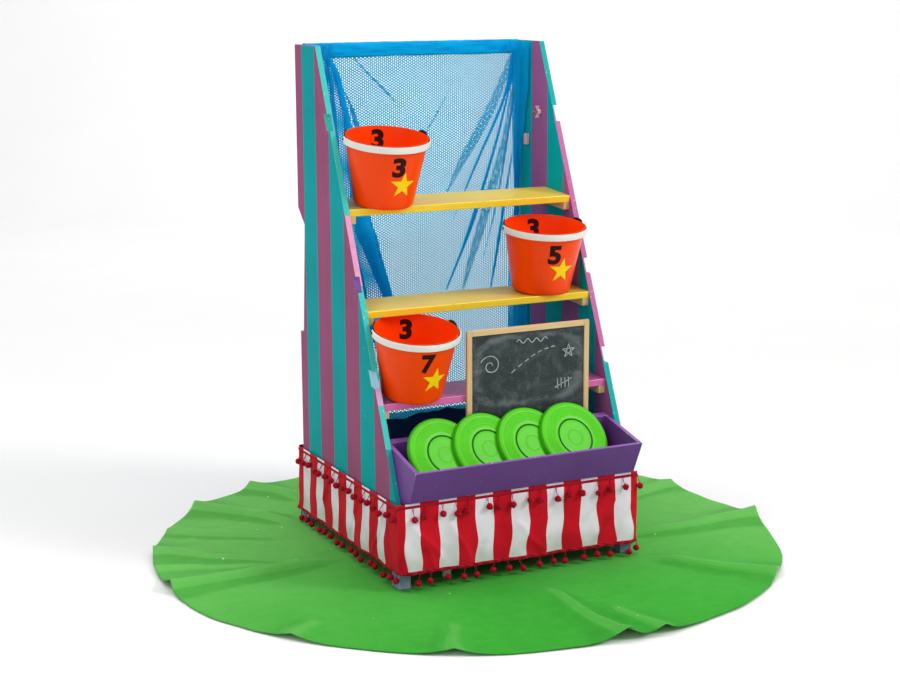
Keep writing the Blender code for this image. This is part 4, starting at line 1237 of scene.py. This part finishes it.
# sharp pulls in the cloth: side, (place along it, share of the drop) at both ends, height, widths either side
PULLS = [("front", (0.352, 0.06), (0.225, 0.97), 0.0058, 0.004, 0.022), ("front", (0.305, 0.00), (0.205, 0.60), 0.0040, 0.004, 0.016),
         ("front", (0.372, 0.35), (0.300, 1.00), 0.0036, 0.003, 0.014), ("front", (0.140, 0.05), (0.070, 0.62), 0.0030, 0.004, 0.014),
         ("front", (-0.010, 0.45), (0.085, 0.92), 0.0044, 0.004, 0.018), ("front", (-0.085, 0.15), (-0.125, 0.80), 0.0032, 0.004, 0.012),
         ("front", (-0.345, 0.22), (-0.235, 0.85), 0.0052, 0.004, 0.020), ("front", (-0.215, 0.30), (-0.150, 0.98), 0.0048, 0.004, 0.016),
         ("front", (-0.300, 0.55), (-0.260, 1.00), 0.0034, 0.003, 0.012), ("left", (0.640, 0.10), (0.560, 0.92), 0.0040, 0.004, 0.014),
         ("left", (0.450, 0.20), (0.375, 0.90), 0.0036, 0.004, 0.014), ("left", (0.240, 0.10), (0.165, 0.85), 0.0040, 0.004, 0.016),
         ("right", (0.560, 0.15), (0.480, 0.90), 0.0038, 0.004, 0.015), ("right", (0.250, 0.10), (0.330, 0.85), 0.0040, 0.004, 0.016)]


def pulls(side, place, t_):
    out = 0.0
    for sd, (p0, q0), (p1, q1), hh, wa, wb in PULLS:
        if sd != side:
            continue
        dx, dy = p1 - p0, (q1 - q0) * 0.19
        L2 = dx * dx + dy * dy
        u = ((place - p0) * dx + (t_ - q0) * 0.19 * dy) / L2
        if u < -0.15 or u > 1.15:
            continue
        d = ((place - p0) * dy - (t_ - q0) * 0.19 * dx) / math.sqrt(L2)
        fall = max(0.0, 1 - abs(2 * u - 1) ** 4 * 0.75)
        out += 1.6 * hh * fall * math.exp(-abs(d) / (wa if d > 0 else wb)) * min(1.0, t_ / 0.15 + 0.1)
    return out


def skirt_point(i, t_, lift=0.0):
    """Point of the cloth: t_ 0 at the upper edge, 1 at the hem."""
    (x, y), n, side = SP[i]
    s = run[i]
    zt, zh = skirt_top(x, y), skirt_hem(x, y)
    z = zt + (zh - zt) * t_
    g = t_ ** 0.8
    amp = 0.0065 if side in ("front",) else 0.0055
    if side.startswith("corner"):
        amp = 0.003
    w_ = (math.sin(s * 38 + 2.4 * t_ + 1.2 * math.sin(s * 9)) * 0.55 + math.sin(s * 71 - 3.0 * t_ + 0.7) * 0.25
          + 0.55 * noise.noise((s * 7, t_ * 2.4, 1.0)) + 0.35 * noise.noise((s * 16, t_ * 5.0, 4.0)))
    w_ += 0.75 * noise.noise((s * 4.0 + t_ * 2.2, t_ * 3.0 - s * 3.5, 9.0))
    d = 0.0012 + amp * g * (w_ * 0.8 + 0.75) * (0.55 + 0.45 * math.sin(min(1.0, t_ * 1.15) * math.pi * 0.62))
    d += pulls(side, x if side == "front" else BY - y, t_)
    side_shift = 0.0062 * g * (math.sin(t_ * 5.2 + s * 11) * 0.8 + noise.noise((s * 5, t_ * 3.2, 6.0)) * 1.6)
    side_shift += 0.0034 * math.sin(t_ * 9.5 + s * 47) * g
    if side.startswith("corner") or side == "left_end":
        side_shift *= 0.25
    tx, ty = -n[1], n[0]
    d = max(d, 0.0006) + lift
    return Vector((x + n[0] * d + tx * side_shift, y + n[1] * d + ty * side_shift, z))


ROWS = 34
ts = [0.0, 0.012] + list(np.linspace(0.03, 0.97, ROWS - 3)) + [1.0]
pts, uvs = [], []
for t_ in ts:
    for i in range(len(SP)):
        p = skirt_point(i, t_)
        pts.append(tuple(p))
        uvs.append((stripe_phase(i), t_ * 0.205))
t = NT("skirt_stripes", 0.82, 0.12)
uvk = t.uv()
u, v_, _ = t.xyz(uvk)
fr = t.math("FRACT", t.math("ADD", u, 2.0))
edge = t.math("MULTIPLY", t.math("SUBTRACT", t.noise(420.0, 2), 0.5), 0.012)
fr = t.math("ADD", fr, edge)
white = t.math("MULTIPLY", t.steps(fr, 0.004, 0.012), t.math("SUBTRACT", 1.0, t.steps(fr, 0.488, 0.496)))
soft = t.noise(14.0, 3)
weave = t.n("ShaderNodeTexWave", wave_type="BANDS", bands_direction="DIAGONAL")
t.l(t.obj(), weave.inputs["Vector"])
weave.inputs["Scale"].default_value = 260.0
weave.inputs["Distortion"].default_value = 1.2
weave.inputs["Detail"].default_value = 2.0
red = t.ramp(soft, [(0.3, lin("#BE0C1E")), (0.5, lin("#D20E24")), (0.7, lin("#DC1228"))])
wht = t.ramp(soft, [(0.3, lin("#E6D9E8")), (0.5, lin("#F2E4F4")), (0.7, lin("#F8ECFA"))])
# the white stripes turn greyer towards the hem
hem_grey = t.steps(t.math("ADD", v_, t.math("MULTIPLY", t.math("SUBTRACT", t.noise(22.0, 3), 0.5), 0.12)), 0.13, 0.215)
wht = t.mix(t.math("MULTIPLY", hem_grey, 0.55), wht, lin("#B9BEAE"))
speck = t.steps(t.noise(330.0, 2), 0.70, 0.74)
wht = t.mix(t.math("MULTIPLY", speck, 0.22), wht, lin("#8E9A84"))
c = t.mix(white, red, wht)
c = t.mix(t.math("MULTIPLY", weave.outputs["Fac"], 0.06), c, (0.02, 0.0, 0.0, 1))
t.color(c)
t.bump(t.math("ADD", t.math("MULTIPLY", weave.outputs["Fac"], 0.5), t.math("MULTIPLY", t.noise(500.0, 2), 0.4)), 0.35, 0.0005)
t.b.inputs["Sheen Weight"].default_value = 0.04
t.b.inputs["Sheen Roughness"].default_value = 0.5
M_SKIRT = t.m
skirt = mesh_from("skirt_cloth", pts, grid_faces(len(ts), len(SP)), [M_SKIRT], uv=uvs)
m = skirt.modifiers.new("cloth", "SOLIDIFY")
m.thickness = 0.0009
m.offset = -1.0
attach(skirt, "booth")
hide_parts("skirt")

# braid and bias band
t = NT("trim_red", 0.88, 0.08)
uvt = t.uv()
bu, bv, _ = t.xyz(uvt)
pl = t.math("SINE", t.math("MULTIPLY", t.math("ADD", bu, t.math("ABSOLUTE", t.math("SUBTRACT", bv, 0.5))), TAU))
knit = t.noise(600.0, 2)
t.color(t.ramp(t.math("ADD", t.math("MULTIPLY", pl, 0.25), knit), [(0.25, lin("#7A0A18")), (0.6, lin("#B5112A")), (0.9, lin("#C8203A"))]))
t.bump(t.math("ADD", t.math("MULTIPLY", pl, 0.6), knit), 0.6, 0.0008)
t.b.inputs["Sheen Weight"].default_value = 0.05
M_TRIM = t.m


def band(name, t0, t1, lift, thick, pitch, n=5):
    pts, uvs = [], []
    for a in range(n):
        f = a / (n - 1)
        for i in range(len(SP)):
            bulge = thick * math.sin(math.pi * f)
            p = skirt_point(i, t0 + (t1 - t0) * f, lift + bulge)
            pts.append(tuple(p))
            uvs.append((run[i] / pitch, f))
    ob = mesh_from(name, pts, grid_faces(n, len(SP)), [M_TRIM], uv=uvs)
    m = ob.modifiers.new("tape", "SOLIDIFY")
    m.thickness = 0.0008
    m.offset = -1.0
    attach(ob, "booth")
    return ob


H_ = 0.205
braid = band("skirt_braid", 0.030, 0.066, 0.0006, 0.0010, 0.0060)
bias = band("skirt_hem_band", 0.958, 1.004, 0.0008, 0.0009, 0.0300)

# pompoms: wool balls on threads, along the braid and the hem
t = NT("pompom_wool", 0.95, 0.05)
pw = t.noise(260.0, 3)
t.color(t.ramp(pw, [(0.25, lin("#7E0A18")), (0.5, lin("#B01228")), (0.75, lin("#D02440"))]))
t.bump(pw, 0.7, 0.0012)
t.b.inputs["Sheen Weight"].default_value = 0.08
t.b.inputs["Sheen Roughness"].default_value = 0.4
M_POM = t.m

bm = bmesh.new()
bmesh.ops.create_icosphere(bm, subdivisions=2, radius=1.0)
ico_v = np.array([v.co[:] for v in bm.verts])
ico_f = [tuple(v.index for v in f.verts) for f in bm.faces]
bm.free()


def pompom(center, radius, seed):
    r_ = np.random.default_rng(seed)
    core = radius * 0.86
    k = 1 + 0.10 * r_.standard_normal(len(ico_v)).clip(-1.5, 1.5)
    V = [tuple(center + Vector(v) * core * kk) for v, kk in zip(ico_v, k)]
    F = list(ico_f)
    for _ in range(150):
        d = Vector(r_.standard_normal(3)).normalized()
        a = d.orthogonal().normalized()
        a = Matrix.Rotation(float(r_.uniform(0, TAU)), 3, d) @ a
        b = d.cross(a)
        tip = (d + 0.35 * a * float(r_.uniform(-1, 1))).normalized() * radius * float(r_.uniform(0.95, 1.12))
        w_ = 0.00055
        o = len(V)
        c0 = center + d * core * 0.9
        V += [tuple(c0 + a * w_), tuple(c0 - a * w_ * 0.5 + b * w_ * 0.87), tuple(c0 - a * w_ * 0.5 - b * w_ * 0.87), tuple(center + tip)]
        F += [(o, o + 1, o + 3), (o + 1, o + 2, o + 3), (o + 2, o, o + 3)]
    return V, F


def hang_row(name, t_from, drop, pitch, off, radius, start, seed0):
    parts = []
    n = int(TOTAL / pitch)
    for k in range(n):
        s = (start + k * pitch + 0.006 * math.sin(k * 2.3 + seed0)) % TOTAL
        i = int(np.searchsorted(run, s)) % len(SP)
        p = skirt_point(i, t_from, 0.0016)
        nx, ny = SP[i][1]
        dz = drop * (1 + 0.14 * math.sin(k * 1.9 + seed0))
        sway = 0.004 * math.sin(k * 3.7 + seed0 * 2)
        z = max(p.z - dz, 0.0045 + radius * 1.05)
        # rests against the cloth behind it
        q_t = min(1.0, max(0.0, (skirt_top(p.x, p.y) - z) / (skirt_top(p.x, p.y) - skirt_hem(p.x, p.y))))
        back = skirt_point(i, q_t, 0.0)
        c0 = Vector((SP[i][0][0], SP[i][0][1], 0))
        reach = max((back - c0).dot(Vector((nx, ny, 0))) + radius * 1.02, (p - c0).dot(Vector((nx, ny, 0)))) if t_from < 0.5 else \
            (p - c0).dot(Vector((nx, ny, 0))) + 0.001
        c = Vector((c0.x + nx * reach - ny * sway, c0.y + ny * reach + nx * sway, z))
        parts.append((*pompom(c, radius, 1000 + seed0 * 500 + k), 0))
        top = p
        mid = top.lerp(c, 0.5) + Vector((nx, ny, 0)) * 0.0015
        parts.append((*tube([top + Vector((0, 0, 0.003)), top, mid, c + Vector((0, 0, radius * 0.5))], 0.0008, 6), 1))
        parts.append((*tube([top + Vector((-ny, nx, 0)) * 0.006 + Vector((0, 0, 0.002)), top.lerp(c, 0.45), c + Vector((0, 0, radius * 0.6))],
                            0.0006, 6), 1))
    ob = join_parts(name, parts, [M_POM, M_TRIM])
    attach(ob, "booth")
    return ob


pom_top = hang_row("pompoms_upper", 0.066, 0.0265, 0.0450, 0.010, 0.0106, 0.012, 1)
pom_hem = hang_row("pompoms_hem", 1.000, 0.0235, 0.0480, 0.002, 0.0104, 0.020, 2)

# ------------------------------------------------------------ ground mat
DEV = [(-178.5, 0.014), (-164, 0.017), (-155, 0.005), (-146, -0.004), (-132, -0.014), (-112, -0.014), (-100, -0.021), (-94, -0.019), (-88, -0.008),
       (-81, 0.0), (-72, 0.0), (-62, 0.012), (-52, 0.016), (-37, 0.016), (-25, 0.007), (-12, 0.013), (-6, -0.008), (2, -0.029), (25, -0.012),
       (60, 0.004), (90, -0.012), (104, -0.040), (115, -0.019), (133, 0.002), (143, 0.003), (154, 0.007), (162, 0.015), (169, 0.015), (181.5, 0.014)]


def mat_edge(deg):
    while deg > 181.5:
        deg -= 360
    while deg < -178.5:
        deg += 360
    for (a, da), (b, db) in zip(DEV, DEV[1:]):
        if a <= deg <= b:
            f = (deg - a) / (b - a)
            f = f * f * (3 - 2 * f)
            return 0.9150 + da + (db - da) * f
    return 0.9150


# creases: start, end, height, width on the near side, width on the far side
CREASE = [((-0.935, -0.035), (-0.372, 0.012), 0.0185, 0.011, 0.060), ((-0.655, 0.672), (-0.330, 0.345), 0.0150, 0.012, 0.070),
          ((-0.405, 0.815), (-0.270, 0.600), 0.0140, 0.014, 0.050), ((-0.900, 0.300), (-0.560, 0.045), 0.0110, 0.012, 0.060),
          ((-0.800, 0.500), (-0.420, 0.230), 0.0070, 0.012, 0.040), ((-0.920, 0.150), (-0.600, 0.020), 0.0060, 0.010, 0.030),
          ((0.398, -0.172), (0.915, -0.206), 0.0160, 0.012, 0.060), ((0.372, -0.330), (0.655, -0.700), 0.0130, 0.014, 0.070),
          ((0.002, -0.415), (0.012, -0.905), 0.0160, 0.045, 0.016), ((0.085, -0.640), (0.118, -0.905), 0.0080, 0.020, 0.040),
          ((-0.330, -0.560), (-0.435, -0.800), 0.0065, 0.020, 0.050), ((-0.640, -0.400), (-0.770, -0.520), 0.0060, 0.020, 0.040),
          ((0.420, 0.100), (0.890, 0.220), 0.0080, 0.014, 0.050), ((0.300, 0.560), (0.480, 0.790), 0.0100, 0.014, 0.050),
          ((-0.060, 0.500), (-0.090, 0.880), 0.0090, 0.020, 0.050), ((0.420, 0.330), (0.740, 0.540), 0.0090, 0.014, 0.045)]
# raised spots of the cut edge: angle, height, half width in degrees
LIFTS = [(-89.6, 0.0130, 3.2), (-83.0, 0.0110, 2.4), (-119.2, 0.0090, 3.5), (-146.0, 0.0060, 4.0), (-179.0, 0.0080, 2.5), (-12.7, 0.0120, 3.0),
         (-47.0, 0.0070, 3.5), (134.0, 0.0100, 3.5), (116.0, 0.0090, 3.0), (162.0, 0.0070, 3.5), (14.0, 0.0080, 3.0), (58.0, 0.0070, 4.0)]


def mat_height(x, y):
    h = 0.0
    for (x0, y0), (x1, y1), A, wa, wb in CREASE:
        dx, dy = x1 - x0, y1 - y0
        L2 = dx * dx + dy * dy
        t_ = ((x - x0) * dx + (y - y0) * dy) / L2
        L = math.sqrt(L2)
        d = ((x - x0) * dy - (y - y0) * dx) / L
        d += 0.006 * math.sin(t_ * 7 + x0 * 20)
        inner_first = math.hypot(x0, y0) < math.hypot(x1, y1)
        tt = t_ if inner_first else 1 - t_
        k = max(0.0, min(1.0, tt / 0.35))
        k = k * k * (3 - 2 * k)
        if tt > 1.0:
            k *= max(0.0, 1 - (tt - 1.0) / 0.3)
        w_ = wa if d > 0 else wb
        h += A * k * math.exp(-(math.sqrt(d * d + 0.000004) - 0.002) / w_)
    n = noise.noise((x * 3.0, y * 3.0, 0.5)) * 0.0020 + noise.noise((x * 9, y * 9, 2.0)) * 0.0008
    r = math.hypot(x, y)
    edge_ = max(0.0, min(1.0, (r - 0.60) / 0.32))
    h += edge_ * (0.0015 + 0.0030 * max(0.0, noise.noise((math.atan2(y, x) * 3.1, 4.2, 0.0))))
    if r > 0.70:
        deg = math.degrees(math.atan2(y, x))
        for a_, hh, ww in LIFTS:
            dd = (deg - a_ + 180) % 360 - 180
            if abs(dd) < 3 * ww:
                h += hh * math.exp(-(dd / ww) ** 2) * max(0.0, (r - 0.70) / 0.22) ** 2.2
    wr = abs(noise.noise((x * 4.6, y * 4.6, 7.0)))
    h += 0.0007 * max(0.0, 1 - wr / 0.10) ** 2 * min(1.0, max(0.0, noise.noise((x * 2.1, y * 2.1, 3.0)) * 3))
    # flat under the booth and its feet
    bx0, bx1, by0, by1 = -0.372, 0.398, -0.335, 0.450
    out = max(bx0 - x, x - bx1, by0 - y, y - by1)
    m_ = max(0.0, min(1.0, out / 0.10))
    m_ = m_ * m_ * (3 - 2 * m_)
    return (max(0.0, h) + max(0.0, n) + 0.0002) * m_


NR, NA = 150, 620
pts = [(0, 0, 0.0024)]
for i in range(1, NR + 1):
    f = i / NR
    for j in range(NA):
        a = TAU * j / NA
        r = f * mat_edge(math.degrees(a) if a <= math.pi else math.degrees(a) - 360)
        if i == NR:
            r += 0.0012 * noise.noise((math.cos(a) * 30, math.sin(a) * 30, 0.0))
        x, y = r * math.cos(a), r * math.sin(a)
        pts.append((x, y, 0.0024 + 1.35 * mat_height(x, y)))
faces = [(0, 1 + j, 1 + (j + 1) % NA) for j in range(NA)]
for i in range(NR - 1):
    for j in range(NA):
        a, b = 1 + i * NA + j, 1 + i * NA + (j + 1) % NA
        faces.append((a, a + NA, b + NA, b))
t = NT("mat_felt", 0.94, 0.06)
big = t.noise(1.7, 3)
fine = t.noise(420.0, 3, 0.6)
mott = t.noise(26.0, 3)
c = t.ramp(big, [(0.3, lin("#289A24")), (0.5, lin("#2EA22A")), (0.7, lin("#38AA32"))])
# painted sheen: the mat is painted paler towards the back and out to both sides; the folds' crests get a painted
# highlight and their feet painted shade
mx, my, _ = t.xyz()
far_sheen = t.math("ADD", t.math("MULTIPLY", t.math("ABSOLUTE", t.math("ADD", mx, 0.1)), 0.50), t.math("MULTIPLY", my, 0.60))
far_sheen = t.math("ADD", far_sheen, t.math("MULTIPLY", t.math("SUBTRACT", big, 0.5), 0.5))
c = t.mix(t.math("MULTIPLY", t.steps(far_sheen, -0.35, 0.70), 0.80), c, lin("#88D072"))
at = t.n("ShaderNodeAttribute", attribute_name="crest")
# painted highlight on the crests, then painted shade at the feet of the folds
c = t.mix(t.math("MULTIPLY", t.steps(at.outputs["Fac"], 0.10, 1.30), 0.30), c, lin("#84CC72"))
c = t.mix(t.math("MULTIPLY", t.steps(t.math("MULTIPLY", at.outputs["Fac"], -1.0), 0.06, 0.90), 0.42), c, lin("#207A24"))
c = t.mix(0.22, c, t.ramp(mott, [(0.3, lin("#269022")), (0.7, lin("#48B43A"))]))
c = t.mix(0.18, c, t.ramp(fine, [(0.3, lin("#1E7E1C")), (0.7, lin("#66C656"))]))
vor = t.voronoi(16.0)
lint = t.math("LESS_THAN", vor.outputs["Distance"], 0.050)
pick = t.math("GREATER_THAN", t.noise(5.0, 1), 0.56)
c = t.mix(t.math("MULTIPLY", t.math("MULTIPLY", lint, pick), 0.8), c, lin("#D8EACF"))
vor2 = t.voronoi(11.0, src=t.vmath("ADD", t.obj(), (3.1, 1.7, 0.0)))
dirt = t.math("MULTIPLY", t.math("LESS_THAN", vor2.outputs["Distance"], 0.035), t.math("GREATER_THAN", t.noise(4.0, 1), 0.55))
c = t.mix(t.math("MULTIPLY", dirt, 0.75), c, lin("#205A22"))
t.color(c)
t.bump(t.math("ADD", fine, t.math("MULTIPLY", mott, 0.6)), 0.35, 0.0008)
t.b.inputs["Sheen Weight"].default_value = 0.05
t.b.inputs["Sheen Roughness"].default_value = 0.45
mat = mesh_from("mat_cloth", pts, faces, [t.m])
Z = np.array([q[2] for q in pts[1:]]).reshape(NR, NA)
Zo, Zi = np.vstack([Z[5:], Z[-1:].repeat(5, 0)]), np.vstack([Z[:1].repeat(5, 0), Z[:-5]])
crest = (Z - (np.roll(Z, 5, 1) + np.roll(Z, -5, 1) + Zo + Zi) / 4) / 0.0024
crest[:8] = 0.0
at_ = mat.data.attributes.new("crest", "FLOAT", "POINT")
at_.data.foreach_set("value", np.concatenate([[0.0], crest.ravel()]).astype(np.float32))
m = mat.modifiers.new("cloth", "SOLIDIFY")
m.thickness = 0.0021
m.offset = -1.0
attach(mat, "booth")
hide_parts("ground_mat")

# ------------------------------------------------------------ stage, lights and camera
v, f, prof = [], [], []
for y in np.linspace(-12, 7.0, 22):
    prof.append((y, -0.0006))
for i in range(1, 15):
    a = math.radians(90 * i / 14)
    prof.append((7.0 + 2.6 * math.sin(a), -0.0006 + 2.6 * (1 - math.cos(a))))
prof += [(9.6, z) for z in np.linspace(3.4, 9, 6)]
xs = np.linspace(-14, 14, 12)
for y, z in prof:
    for x in xs:
        v.append((x, y, z))
sweep = mesh_from("studio_sweep", v, [tuple(reversed(q)) for q in grid_faces(len(prof), len(xs))])
t = NT("studio_paper", 0.9, 0.1)
pn = t.noise(1.3, 2)
t.color(t.ramp(pn, [(0.3, (0.885, 0.885, 0.885, 1)), (0.7, (0.90, 0.90, 0.90, 1))]))
sweep.data.materials.append(t.m)
sweep.rotation_euler = (0, 0, math.radians(-25.9))

world = bpy.data.worlds.new("studio")
bpy.context.scene.world = world
world.use_nodes = True
bg = world.node_tree.nodes["Background"]
bg.inputs["Color"].default_value = (1.0, 1.0, 1.0, 1)
bg.inputs["Strength"].default_value = 0.43


def area(name, loc, target, size, power, color=(1, 1, 1)):
    la = bpy.data.lights.new(name, "AREA")
    la.shape = "RECTANGLE"
    la.size, la.size_y = size
    la.energy = power
    la.color = color
    ob = link(bpy.data.objects.new(name, la))
    d = Vector(target) - Vector(loc)
    ob.location = loc
    ob.rotation_euler = d.to_track_quat("-Z", "Y").to_euler()
    return ob


area("key_right", (9.6, -8.4, 9.0), (0, 0, 0.5), (3.6, 3.6), 940, (1.0, 0.99, 0.975))
area("fill_left", (-6.5, -5.2, 4.0), (0, 0, 0.5), (4.5, 4.5), 95, (0.98, 0.99, 1.0))
area("overhead", (0.0, -1.0, 7.5), (0, 0.2, 0), (7.0, 7.0), 260)
area("overhead_left", (-5.0, 2.5, 7.5), (-4.0, 3.0, 0), (5.0, 5.0), 165)
# washes the paper behind the booth; it points away from the booth
back_dir = Vector((0.4370, 0.8995, 0.0))
area("paper_wash", back_dir * 5.4 + Vector((0, 0, 4.4)), back_dir * 9.4 + Vector((0, 0, 1.4)), (8.0, 1.6), 85)

cam_data = bpy.data.cameras.new("camera")
cam_data.lens = 69.463
cam_data.sensor_width = 36.0
cam_data.clip_start = 0.1
cam_data.clip_end = 100.0
cam = link(bpy.data.objects.new("camera", cam_data))
Rv = Vector((0.89906157, -0.4378011, -0.00430074))
Uv = Vector((0.09231012, 0.17994612, 0.97933561))
Fv = Vector((0.4279803, 0.88088001, -0.20219612))
cm = Matrix((Rv, Uv, -Fv)).transposed().to_4x4()
cm.translation = Vector((-2.22143922, -4.46217907, 1.65567924))
cam.matrix_world = cm
bpy.context.scene.camera = cam
bpy.context.scene.view_settings.view_transform = "Standard"

bpy.context.view_layer.update()
